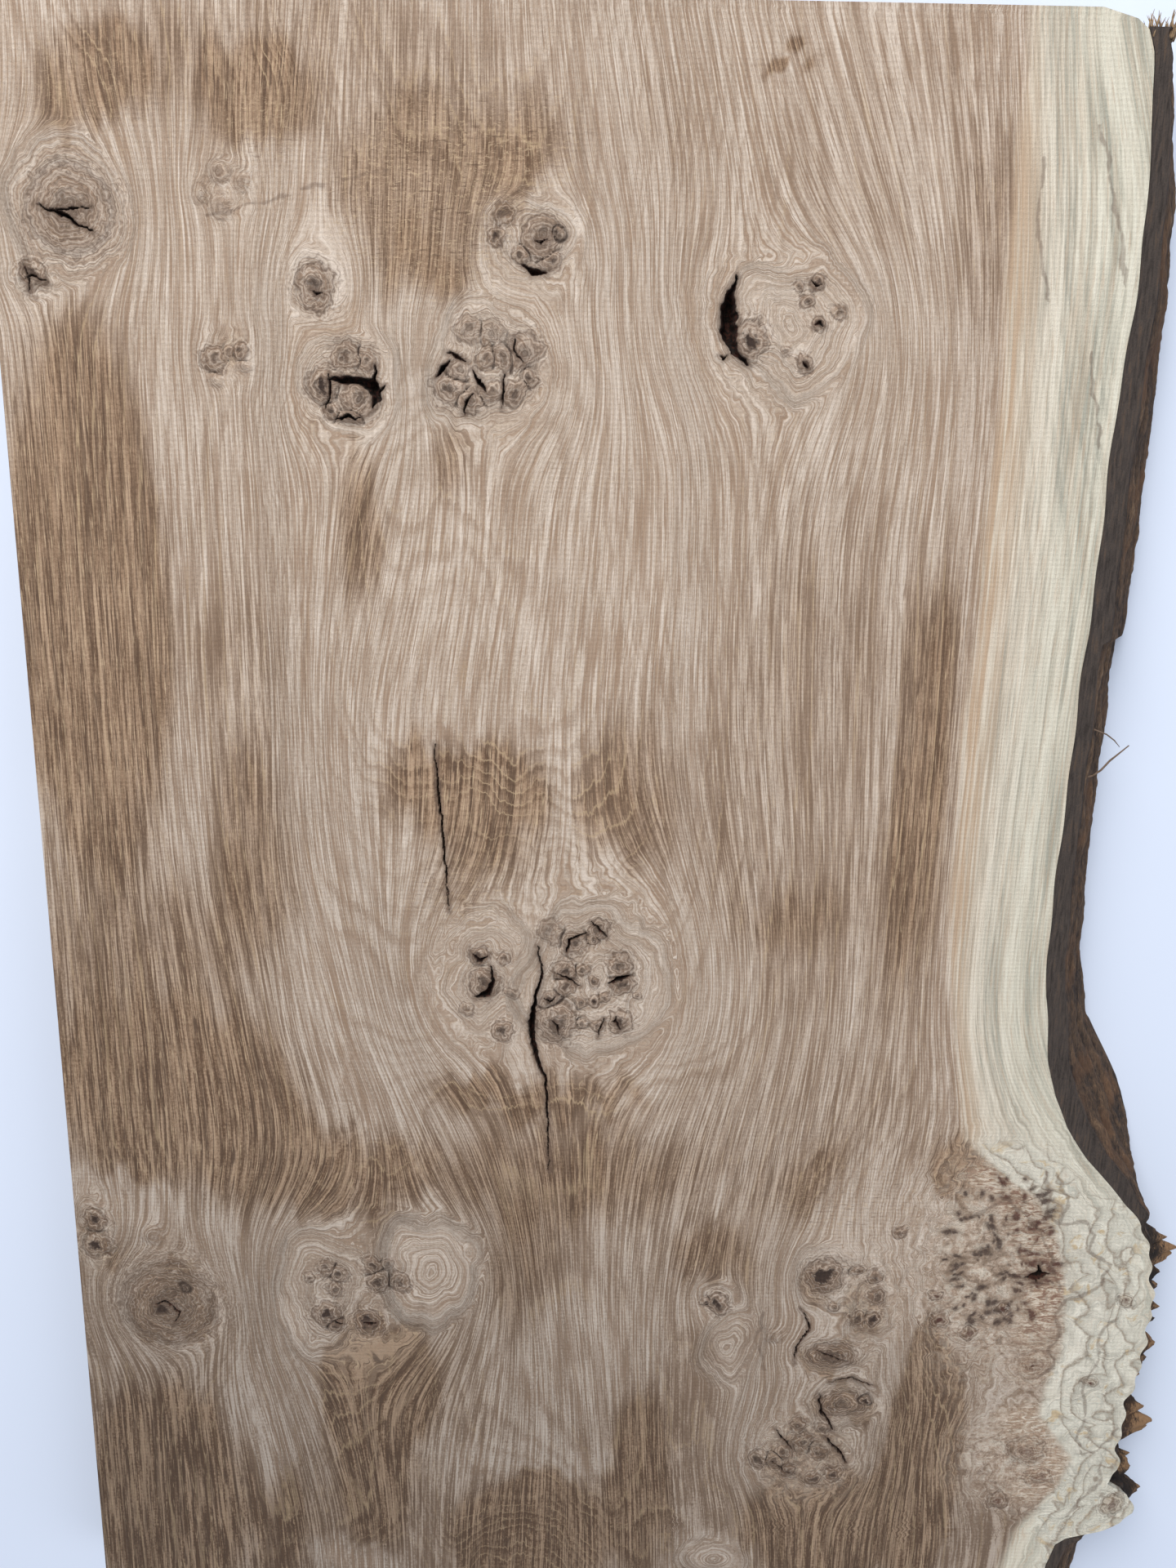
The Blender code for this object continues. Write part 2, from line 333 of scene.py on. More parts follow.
@dataclass(frozen=True)
class Opening:
    """A void or crack: a course of places and widths, and its depth."""

    course: Course
    depth: float


GRAIN_ROWS = np.arange(0.0, 661.0, 60.0)
GRAIN_LINES = (
    GrainLine(0.0, (0, 0, 0, 0, 0, 0, 0, 0, 0, 0, 0, 0)),
    GrainLine(30.0, (30, 30, 30, 30, 30, 30, 31, 32, 31, 33, 33, 33)),
    GrainLine(60.0, (63, 60, 60, 60, 59, 61, 68, 74, 68, 76, 84, 88)),
    GrainLine(90.0, (94, 90, 88, 88, 89, 88, 94, 104, 90, 96, 108, 111)),
    GrainLine(110.0, (114, 106, 101, 99, 99, 101, 114, 128, 118, 120, 126, 128)),
    GrainLine(130.0, (135, 133, 130, 119, 112, 116, 130, 148, 160, 152, 148, 148)),
    GrainLine(150.0, (152, 150, 150, 140, 128, 130, 144, 164, 178, 178, 172, 170)),
    GrainLine(175.0, (171, 172, 173, 172, 165, 166, 174, 184, 192, 198, 198, 196)),
    GrainLine(200.0, (193, 200, 206, 204, 200, 203, 206, 208, 210, 216, 220, 221)),
    GrainLine(225.0, (211, 222, 236, 238, 236, 240, 242, 236, 232, 234, 238, 240)),
    GrainLine(250.0, (229, 242, 252, 254, 256, 262, 266, 258, 250, 250, 254, 256)),
    GrainLine(275.0, (246, 262, 280, 278, 280, 286, 289, 282, 276, 276, 280, 284)),
    GrainLine(300.0, (267, 288, 303, 301, 303, 307, 309, 304, 298, 296, 300, 304)),
    GrainLine(325.0, (297, 316, 327, 326, 328, 329, 329, 328, 330, 336, 334, 334)),
    GrainLine(350.0, (338, 346, 350, 350, 350, 350, 352, 364, 362, 360, 356, 354)),
    GrainLine(375.0, (364, 372, 374, 374, 372, 371, 373, 394, 412, 408, 398, 392)),
    GrainLine(392.0, (380, 396, 394, 393, 391, 391, 394, 419, 452, 447, 443, 421)),
    GrainLine(440.0, (440, 450, 450, 448, 446, 448, 450, 474, 505, 500, 495, 475)),
)

SWELLINGS = (
    Swelling(28, 66, 14, 17, 13, 0.1), Swelling(14, 88, 6, 6, 4, 0.8),
    Swelling(83, 58, 9, 8, 3, 0.3), Swelling(80, 113, 8, 8, 3, 0.3),
    Swelling(112, 90, 9, 11, 7, 0.2), Swelling(121, 123, 14, 15, 12, 0.25),
    Swelling(170, 116, 19, 18, 15, 0.3), Swelling(187, 76, 14, 13, 9, 0.25),
    Swelling(268, 100, 22, 22, 16, 0.25), Swelling(171, 347, 20, 27, 17, 0.2),
    Swelling(213, 345, 26, 32, 22, 0.3), Swelling(38, 492, 18, 18, 14, 0.35),
    Swelling(8, 460, 6, 13, 5, 0.9), Swelling(115, 487, 24, 27, 18, 0.25),
    Swelling(146, 472, 14, 16, 9, 0.1), Swelling(268, 488, 7, 8, 4, 0.3),
    Swelling(313, 475, 11, 13, 8, 0.3), Swelling(333, 485, 12, 18, 7, 0.8),
    Swelling(318, 512, 15, 9, 8, 0.3), Swelling(324, 536, 14, 9, 8, 0.3),
    Swelling(309, 563, 18, 16, 12, 0.9), Swelling(385, 466, 27, 38, 14, 1.0),
    Swelling(408, 560, 22, 22, 9, 0.8), Swelling(436, 560, 16, 60, 3, 0.9),
    Swelling(428, 490, 16, 45, 2, 0.6), Swelling(405, 515, 12, 12, 6, 0.5),
)

RING_DOMES = (
    Swelling(160, 214, 29, 34, 14), Swelling(192, 350, 44, 36, 24), Swelling(42, 28, 18, 13, 9),
    Swelling(96, 36, 15, 14, 9), Swelling(66, 34, 12, 12, -5), Swelling(150, 62, 34, 30, 9),
    Swelling(102, 474, 22, 26, 14), Swelling(144, 468, 20, 24, 14), Swelling(118, 505, 24, 52, 22),
    Swelling(215, 470, 28, 80, 12), Swelling(190, 645, 34, 58, 24), Swelling(328, 495, 38, 56, 16),
    Swelling(38, 495, 24, 24, 14), Swelling(270, 97, 26, 26, 12), Swelling(28, 66, 18, 20, 10),
    Swelling(385, 465, 32, 40, 16), Swelling(300, 450, 50, 30, 8), Swelling(120, 120, 18, 18, 9),
    Swelling(170, 115, 20, 20, 9), Swelling(188, 74, 14, 14, 8), Swelling(112, 89, 10, 11, 7),
    Swelling(225, 262, 22, 34, -8), Swelling(80, 112, 12, 12, 4), Swelling(268, 488, 11, 11, 5),
    Swelling(145, 150, 20, 16, -7), Swelling(112, 632, 26, 20, 10), Swelling(268, 630, 26, 24, 10),
    Swelling(66, 610, 20, 70, -9), Swelling(300, 640, 30, 50, -10), Swelling(22, 448, 20, 16, 8),
)

STAIRS = (
    Stair(160, 268, 46, 24, 17, 12), Stair(194, 388, 56, 15, 17, 12), Stair(122, 538, 24, 30, 20, 30),
    Stair(190, 600, 34, 24, 16, -20),
)

HALOS = (
    Halo(28, 66, 25, 25), Halo(112, 89, 11, 13), Halo(121, 122, 19, 20), Halo(171, 115, 25, 23),
    Halo(187, 74, 17, 16), Halo(276, 100, 26, 27), Halo(170, 345, 23, 30), Halo(214, 343, 34, 35),
    Halo(38, 495, 22, 22), Halo(103, 486, 24, 36), Halo(147, 474, 23, 28), Halo(268, 488, 11, 12),
    Halo(276, 512, 14, 22), Halo(315, 478, 18, 20), Halo(332, 490, 13, 26), Halo(320, 512, 18, 12),
    Halo(325, 536, 17, 12), Halo(308, 563, 22, 19), Halo(270, 616, 18, 12),
)

TONES = (
    Tone(38, 28, 24, 18, 0.9, 3.0), Tone(94, 31, 22, 18, 0.9, 3.0), Tone(66, 20, 20, 14, 0.4, 2.0),
    Tone(85, 6, 40, 9, 0.35), Tone(14, 14, 15, 16, -0.5), Tone(20, 50, 18, 8, -0.6, 2.0),
    Tone(152, 58, 37, 30, 0.8, 3.0), Tone(148, 88, 18, 12, 0.7, 2.0), Tone(150, 20, 36, 16, 0.45),
    Tone(188, 42, 14, 14, 0.5, 1.5), Tone(228, 50, 13, 30, 0.35, 2.0), Tone(236, 76, 12, 13, 0.5, 2.5),
    Tone(270, 16, 9, 2.2, 1.6), Tone(28, 66, 27, 24, -0.5, 2.5), Tone(60, 72, 30, 17, -0.4, 2.0),
    Tone(112, 88, 13, 13, -0.8, 2.5), Tone(143, 124, 9, 22, -1.0, 2.5), Tone(118, 120, 19, 20, -0.4, 2.0),
    Tone(172, 114, 26, 24, -0.55, 2.5), Tone(186, 74, 17, 16, -0.8, 2.5), Tone(226, 130, 24, 78, -0.9, 3.0),
    Tone(200, 190, 14, 60, -0.6, 2.0), Tone(135, 215, 14, 30, -0.5, 2.0), Tone(281, 100, 34, 28, -0.9, 2.5), Tone(322, 110, 18, 60, -0.3), Tone(342, 70, 12, 40, 0.3, 2.0),
    Tone(24, 200, 32, 104, 1.15, 4.0), Tone(30, 350, 46, 62, 0.62, 2.5), Tone(48, 402, 58, 42, 0.85, 2.5),
    Tone(80, 190, 23, 60, 0.12, 3.0), Tone(80, 230, 20, 40, 0.3, 2.0), Tone(80, 300, 18, 46, 0.7, 2.0), Tone(126, 178, 8, 38, 0.8, 2.5),
    Tone(157, 150, 7, 14, 0.65, 2.0), Tone(164, 206, 36, 36, -0.65, 2.5), Tone(164, 268, 37, 24, 1.15, 2.0),
    Tone(172, 303, 32, 15, 0.6, 2.5), Tone(226, 270, 22, 34, 0.65, 2.5), Tone(200, 268, 3.4, 34, -1.3, 3.0),
    Tone(302, 262, 50, 112, 0.34, 4.0), Tone(336, 255, 12, 90, 0.6, 2.0), Tone(339, 330, 14, 80, 0.15, 3.0), Tone(316, 58, 46, 56, 0.30, 2.0), Tone(290, 322, 18, 14, 0.4, 1.5),
    Tone(300, 412, 52, 36, 0.22, 3.0), Tone(322, 438, 34, 16, 0.5, 2.0), Tone(124, 335, 22, 84, -0.5, 2.5),
    Tone(206, 346, 60, 44, -1.2, 3.0), Tone(258, 330, 18, 44, 0.25, 2.0), Tone(194, 390, 44, 10, 1.1, 2.0),
    Tone(200, 427, 62, 26, 0.6, 2.0), Tone(105, 428, 42, 24, 0.8, 2.0), Tone(103, 484, 23, 32, -1.0, 4.0),
    Tone(147, 474, 22, 26, -1.3, 4.0), Tone(20, 446, 24, 14, -1.1, 3.0), Tone(63, 472, 13, 20, -0.5, 2.5),
    Tone(38, 495, 21, 20, -0.2, 2.0), Tone(124, 534, 24, 34, 2.1, 2.5), Tone(122, 580, 17, 34, 0.8, 2.0),
    Tone(30, 588, 33, 54, 1.1, 2.5), Tone(80, 530, 17, 40, -0.85, 2.5), Tone(80, 608, 16, 30, 0.5, 1.5),
    Tone(190, 608, 33, 32, 1.1, 3.0), Tone(192, 566, 42, 9, -0.6, 2.0), Tone(112, 622, 20, 10, -1.2, 2.5),
    Tone(210, 430, 7, 14, 0.5, 1.5), Tone(265, 464, 20, 14, 0.6, 2.0), Tone(267, 488, 11, 10, -0.9, 2.5),
    Tone(333, 455, 27, 34, -0.8, 3.0), Tone(338, 446, 24, 18, -1.0, 3.0), Tone(349, 470, 14, 34, -1.2, 3.0), Tone(364, 424, 13, 20, 1.3, 2.0), Tone(318, 474, 24, 28, -0.5, 2.5), Tone(362, 550, 16, 64, 2.0, 3.0),
    Tone(236, 580, 14, 50, 0.9, 2.0), Tone(234, 515, 14, 26, -0.5, 2.0), Tone(324, 600, 38, 32, 1.3, 2.5), Tone(305, 560, 26, 24, -0.4, 2.5),
    Tone(320, 522, 28, 26, -0.3, 2.0), Tone(270, 616, 20, 10, -1.2, 2.5), Tone(290, 530, 22, 44, -0.3, 2.0),
    Tone(198, 518, 26, 34, -0.5, 2.0), Tone(388, 540, 14, 44, -0.3, 2.0), Tone(380, 466, 32, 42, -1.0, 3.0), Tone(186, 478, 15, 40, 0.5, 2.0),
    Tone(355, 480, 6, 36, -0.5, 2.0), Tone(346, 505, 5, 26, -0.6, 2.0),
    Tone(120, 121, 14, 14, 0.6, 4.0), Tone(171, 115, 19, 16, 0.3, 4.0), Tone(187, 74, 11, 10, 0.2, 3.0),
    Tone(170, 348, 13, 17, 0.8, 3.0), Tone(211, 344, 20, 25, 1.1, 3.0), Tone(37, 493, 18, 18, 1.6, 4.0),
    Tone(107, 479, 9, 11, 0.8, 3.0), Tone(127, 478, 11, 11, 0.8, 3.0), Tone(112, 500, 15, 7, 0.9, 3.0),
    Tone(332, 485, 10, 17, 1.5, 3.0), Tone(312, 474, 9, 10, 1.4, 3.0), Tone(318, 512, 13, 8, 1.3, 3.0),
    Tone(325, 536, 13, 8, 1.2, 3.0), Tone(309, 562, 18, 18, 1.2, 3.0), Tone(28, 66, 12, 11, 0.9, 3.0),
    Tone(80, 114, 8, 7, 0.5, 2.0), Tone(81, 59, 10, 8, 0.3, 2.0), Tone(9, 460, 8, 13, 0.9, 2.0),
)

FUZZ = (
    Tone(156, 60, 40, 34, 1.0, 2.5), Tone(192, 38, 16, 14, 0.5, 2.0), Tone(206, 152, 26, 8, 0.35, 2.0),
    Tone(40, 30, 26, 18, 0.5, 2.0), Tone(160, 310, 24, 14, 0.7, 2.0), Tone(320, 440, 34, 18, 0.7, 2.0),
    Tone(96, 40, 18, 12, 0.7, 2.0),
)

EYES = (
    Eye(28, 66, 11.5, 0.35), Eye(14, 88, 4.0, 0.8), Eye(80, 54, 3.0, 0.2), Eye(87.5, 57, 2.8, 0.15),
    Eye(73, 61, 2.4, 0.15), Eye(79.5, 65, 2.8, 0.2), Eye(75, 114, 3.4, 0.4), Eye(80, 112, 2.2, 0.3),
    Eye(85, 111, 2.4, 0.4), Eye(75.5, 121, 2.0, 0.15), Eye(86, 116, 1.8, 0.2), Eye(112, 89, 5.2, 0.6, 1.2),
    Eye(113, 122, 4.6, 0.9), Eye(126.5, 126, 5.2, 0.5), Eye(121, 111.5, 4.0, 0.4),
    Eye(116, 131, 2.6, 0.6), Eye(129, 113, 3.0, 0.4), Eye(122, 133, 3.4, 0.5, 0.6),
    Eye(164, 103, 3.6, 0.3), Eye(172, 103, 3.6, 0.3), Eye(184, 109.5, 5.0, 0.4),
    Eye(158, 122.5, 4.6, 0.5), Eye(165.5, 127, 3.6, 0.4), Eye(161, 116, 3.0, 0.4),
    Eye(173, 124, 3.0, 0.4), Eye(180.5, 123, 3.6, 0.5), Eye(186, 119, 2.4, 0.6),
    Eye(176, 112, 3.4, 0.4), Eye(170, 112, 3.0, 0.4), Eye(190, 72, 5.2, 0.4),
    Eye(194.5, 71.5, 2.4, 0.7), Eye(177, 65, 2.6, 0.4), Eye(175, 72, 2.4, 0.7),
    Eye(183, 78, 2.6, 0.5), Eye(193, 80, 3.0, 0.5), Eye(263, 104, 4.9, 1.0),
    Eye(284.5, 85, 2.2, 0.8), Eye(281.5, 91, 2.2, 0.5), Eye(287, 99, 2.2, 0.8),
    Eye(282.5, 112, 2.4, 0.9), Eye(293, 94, 2.0), Eye(278, 86, 1.6), Eye(276, 107, 1.8, 0.3),
    Eye(168, 334, 3.2, 0.8), Eye(178, 334.5, 2.2, 0.4), Eye(170.5, 346, 5.0, 0.6),
    Eye(177.5, 366.5, 3.4, 0.6), Eye(163, 358, 2.4, 0.3), Eye(181, 351, 2.0, 0.3),
    Eye(196, 323.5, 4.0, 0.3), Eye(205, 328, 4.2, 0.6), Eye(215, 322.5, 3.8, 0.5),
    Eye(213, 327, 2.4, 0.6), Eye(202, 340, 3.6, 0.6), Eye(209, 339.5, 2.6, 0.6),
    Eye(202, 347, 3.2, 0.5), Eye(213.5, 344.5, 1.8, 0.6), Eye(223.5, 337, 4.0, 0.6),
    Eye(225, 345.5, 3.6, 0.6), Eye(196, 352.5, 3.4, 0.8), Eye(199, 362, 6.8, 0.5),
    Eye(214, 352.5, 2.4, 0.8), Eye(218, 351, 2.0, 0.7), Eye(208, 353.5, 2.0, 0.5),
    Eye(215, 363, 2.4, 0.6), Eye(224.5, 361, 3.8, 0.7), Eye(209, 362, 2.0, 0.4),
    Eye(231, 350.5, 2.0, 0.8, 0.5), Eye(104, 475, 3.0, 0.5), Eye(109, 477, 3.2, 0.6),
    Eye(107, 485, 3.0, 0.5), Eye(123, 473.5, 3.6, 0.6), Eye(125.5, 481, 4.2, 0.7),
    Eye(135, 481, 3.6, 0.4), Eye(103, 497, 4.8, 0.8), Eye(107, 502, 3.0, 0.6),
    Eye(121, 501, 4.6, 0.9), Eye(130, 472, 2.4, 0.3), Eye(97, 480, 2.0, 0.4),
    Eye(37, 493, 15.0, 0.3), Eye(34, 496, 4.6, 0.6), Eye(43, 486, 3.6, 0.4),
    Eye(8, 466, 4.6, 0.8), Eye(9, 455, 4.0, 0.8), Eye(31, 461, 3.4, 0.12),
    Eye(268.5, 488.5, 3.8, 0.7), Eye(263.5, 488, 1.8, 0.8), Eye(313, 474, 6.6, 1.3),
    Eye(333.5, 474, 2.8, 0.6), Eye(326, 471, 2.0, 0.4), Eye(335, 483.5, 2.8, 0.5),
    Eye(318, 489, 2.0, 0.4), Eye(328, 494, 2.8, 0.5), Eye(334, 494.5, 2.4, 0.7),
    Eye(318, 512, 7.8, 0.6, 0.6), Eye(293, 504, 3.2, 0.15), Eye(290, 565.5, 3.6, 0.5),
    Eye(324.5, 536.5, 8.0, 0.4, 0.6), Eye(334, 535, 2.0, 1.0), Eye(309, 557, 3.2, 0.4),
    Eye(301, 561, 3.0, 0.4), Eye(315.5, 561, 3.2, 0.4), Eye(296.5, 566, 3.0, 0.5),
    Eye(322.5, 572.5, 3.4, 0.6), Eye(303, 571, 2.8, 0.4), Eye(314, 575, 2.6, 0.5),
    Eye(306, 548, 3.0, 0.4), Eye(317, 549, 2.8, 0.4), Eye(405, 515, 6.0, 0.2),
    Eye(404.5, 515, 1.4, 1.0), Eye(406, 558, 7.0, 0.3, 0.7), Eye(440.5, 483, 2.8, 0.6),
    Eye(413, 572, 5.0, 0.3, 0.7), Eye(447, 586, 4.4, 0.4), Eye(396, 585, 3.4, 0.4),
    Eye(430, 523, 3.0, 0.7, 0.6), Eye(376, 500, 2.4, 0.5), Eye(363, 494, 3.0, 0.7),
    Eye(360, 482, 2.4, 0.6), Eye(343, 452, 2.2, 0.5), Eye(389, 488, 2.2, 0.9),
)

FLECK_FIELD = Swelling(386, 462, 21, 30, 0.0)
FLECK_COUNT = 120

OPENINGS = (
    Opening(((17, 65, 0.4), (27, 68.6, 1.3), (36, 73.5, 0.4)), 4.0),
    Opening(((21, 67.5, 0.3), (28, 66.5, 0.8), (36, 65.5, 0.3)), 2.0),
    Opening(((115.5, 120, 0.8), (120, 120.2, 2.8), (126, 120.4, 3.0), (130.5, 122, 4.4),
             (132.6, 126, 3.0), (130.8, 129.5, 0.6)), 7.0),
    Opening(((131, 121.4, 1.6), (131.4, 118.5, 1.4), (132, 115, 0.4)), 5.0),
    Opening(((133, 124, 1.6), (135, 122, 0.4)), 4.0),
    Opening(((118, 133.2, 0.4), (121.5, 132.6, 1.5), (126, 133.2, 0.4)), 3.0),
    Opening(((115.6, 118, 0.4), (115.8, 124, 1.0), (114, 130, 0.4)), 3.0),
    Opening(((257.6, 83.5, 0.5), (255.4, 88.5, 2.6), (255, 93, 5.6), (255.3, 98, 6.4),
             (255.6, 103, 5.6), (257.4, 107.5, 3.2), (262.5, 112.5, 0.6)), 9.0),
    Opening(((252.4, 109.5, 0.4), (254, 110.6, 1.2), (255.6, 109, 0.4)), 2.0),
    Opening(((191, 330, 0.4), (192.8, 342, 0.9), (190.6, 352, 1.6), (188.8, 362, 2.8),
             (189.6, 371, 2.2), (191.6, 379, 1.6), (195, 388, 1.1), (195.8, 405, 0.8),
             (196.6, 428, 0.3)), 6.0),
    Opening(((151.2, 250, 0.3), (152, 262, 0.6), (154.6, 290, 0.7), (156.2, 317, 0.3)), 3.5),
    Opening(((172.8, 339, 0.7), (173.4, 345, 1.6), (171.6, 350, 3.4), (166, 352, 0.8)), 5.0),
    Opening(((165.5, 333.5, 0.4), (168.5, 336.5, 1.6), (171.5, 334.5, 0.4)), 2.5),
    Opening(((202.6, 332, 0.7), (203.6, 327, 1.5), (210, 324.4, 0.6)), 3.0),
    Opening(((212, 319.6, 0.4), (214.5, 321.6, 1.1), (218, 325.6, 0.5)), 2.5),
    Opening(((198, 341, 0.4), (203, 343.4, 1.2), (208, 346, 0.4)), 2.5),
    Opening(((219, 345.2, 0.6), (223, 343.4, 2.2), (227.4, 342, 0.6)), 4.0),
    Opening(((222.6, 358.5, 0.4), (222, 361, 1.0), (224.5, 364.5, 0.4)), 2.0),
    Opening(((217.6, 360, 0.4), (216.4, 364, 0.9), (215.6, 368.5, 0.3)), 2.0),
    Opening(((193.6, 351.5, 0.4), (196.4, 353.4, 1.4), (198.4, 350.6, 0.4)), 2.5),
    Opening(((196.5, 361, 0.3), (199, 363, 0.9), (199.8, 367, 0.3)), 2.0),
    Opening(((153.2, 118.6, 0.5), (155.4, 115.6, 2.2), (158, 113.4, 0.6)), 4.0),
    Opening(((157.4, 110.2, 0.5), (160.4, 111.6, 1.4), (164, 113, 0.5)), 2.5),
    Opening(((166.4, 116.4, 0.5), (168.5, 119.5, 1.8), (170.6, 123.4, 0.5)), 4.0),
    Opening(((163, 131, 0.4), (164, 127, 1.1), (166, 124, 0.5)), 2.5),
    Opening(((177, 117, 0.4), (177.2, 123, 0.8), (176.4, 129, 0.3)), 2.5),
    Opening(((181, 104.5, 0.3), (180.8, 109, 0.8), (184, 113.6, 0.4)), 2.0),
    Opening(((183.4, 81.4, 0.6), (187, 83.4, 2.8), (191.4, 83.6, 0.6)), 4.5),
    Opening(((187.6, 73.5, 0.3), (189.6, 74.6, 0.8), (192.4, 73, 0.3)), 1.5),
    Opening(((11, 89.5, 0.3), (14, 87.6, 0.9), (19, 90.4, 0.3)), 2.0),
    Opening(((10.5, 84, 0.3), (13, 89, 0.8), (12, 93.5, 0.3)), 1.5),
    Opening(((110.4, 91.2, 0.4), (112.2, 92, 1.1), (114, 91.4, 0.4)), 2.0),
    Opening(((314, 531.5, 0.4), (316.2, 542, 1.3), (321.5, 549.5, 0.5)), 3.5),
    Opening(((318, 553.5, 0.4), (324, 559.5, 1.5), (328.4, 567.5, 0.4)), 3.5),
    Opening(((296, 549.6, 0.4), (300, 555, 1.1), (304, 560.5, 0.4)), 2.5),
    Opening(((295.6, 566, 0.4), (300.5, 571, 0.8), (305.5, 572.5, 0.3)), 2.0),
    Opening(((304, 490, 0.3), (308.4, 500, 0.9), (303, 509, 0.7), (302.6, 517, 0.3)), 2.0),
    Opening(((311.4, 509.6, 0.4), (317, 512.6, 1.0), (326, 515.5, 0.3)), 2.0),
    Opening(((318, 525.6, 0.3), (328, 523.6, 0.9), (338, 527.5, 0.3)), 2.0),
    Opening(((397, 472.8, 0.6), (402.4, 471.8, 4.4), (407, 471, 0.6)), 5.0),
    Opening(((402.4, 466.4, 0.5), (403, 470, 1.6), (401.8, 475, 0.5)), 4.0),
    Opening(((106, 500.4, 0.5), (108, 501.4, 1.6), (110, 501.6, 0.4)), 2.0),
    Opening(((119, 500.6, 0.5), (121.4, 501.6, 1.8), (124, 500.8, 0.5)), 2.0),
    Opening(((30, 494, 0.3), (35, 492, 0.8), (41, 497.6, 0.9), (38, 503, 0.3)), 1.5),
    Opening(((282, 111, 0.4), (282.8, 112.6, 1.2), (284, 113.6, 0.4)), 2.0),
    Opening(((283, 84.4, 0.4), (284.8, 86, 1.1), (287, 85.8, 0.4)), 2.0),
    Opening(((285, 99.6, 0.4), (287, 98, 0.9), (288.6, 99.6, 0.4)), 1.5),
)

VEINS = (
    ((400, 425, 0.7), (404, 433, 0.7), (402, 442, 0.7), (408, 448, 0.7), (418, 446, 0.7),
     (424, 452, 0.7), (423, 460, 0.7), (431, 466, 0.8), (430, 474, 0.8), (425, 480, 0.9),
     (415, 484, 0.9), (412, 492, 0.7), (415, 500, 0.6), (410, 508, 0.6), (414, 515, 0.6),
     (408, 521, 0.5)),
    ((405, 425, 0.6), (411, 436, 0.6), (409, 447, 0.6)),
    ((438, 492, 0.5), (431, 500, 0.6), (432, 512, 0.5), (427, 524, 0.5), (430, 540, 0.5),
     (428, 552, 0.6), (431, 561, 0.6), (438, 557, 0.5), (445, 546, 0.5)),
    ((438, 562, 0.6), (440, 575, 0.6), (432, 585, 0.8), (428, 592, 0.9)),
    ((377, 34, 0.5), (386, 62, 0.5), (392, 84, 0.5)),
    ((382, 106, 0.5), (384, 118, 0.6), (387, 126, 0.6), (389, 138, 0.5)),
    ((359, 45, 0.4), (360, 70, 0.5), (366, 90, 0.4)),
    ((372, 445, 0.6), (386, 436, 0.6), (396, 446, 0.6), (404, 456, 0.6)),
    ((404, 456, 0.6), (408, 468, 0.6), (412, 480, 0.6)),
    ((75, 68, 0.1), (95, 63, 0.2), (120, 55, 0.1), (138, 51, 0.1)),
    ((288, 492, 0.5), (286, 506, 0.5), (290, 520, 0.4)),
)

SAP_EDGE: Table = (
    (0.0, 350.0), (60.0, 352.0), (120.0, 350.0), (300.0, 350.5), (340.0, 353.0),
    (380.0, 360.0), (410.0, 366.0), (425.0, 380.0), (436.0, 398.0), (452.0, 406.0),
    (480.0, 412.0), (510.0, 415.0), (540.0, 408.0), (562.0, 424.0), (576.0, 420.0),
    (600.0, 404.0), (660.0, 396.0))


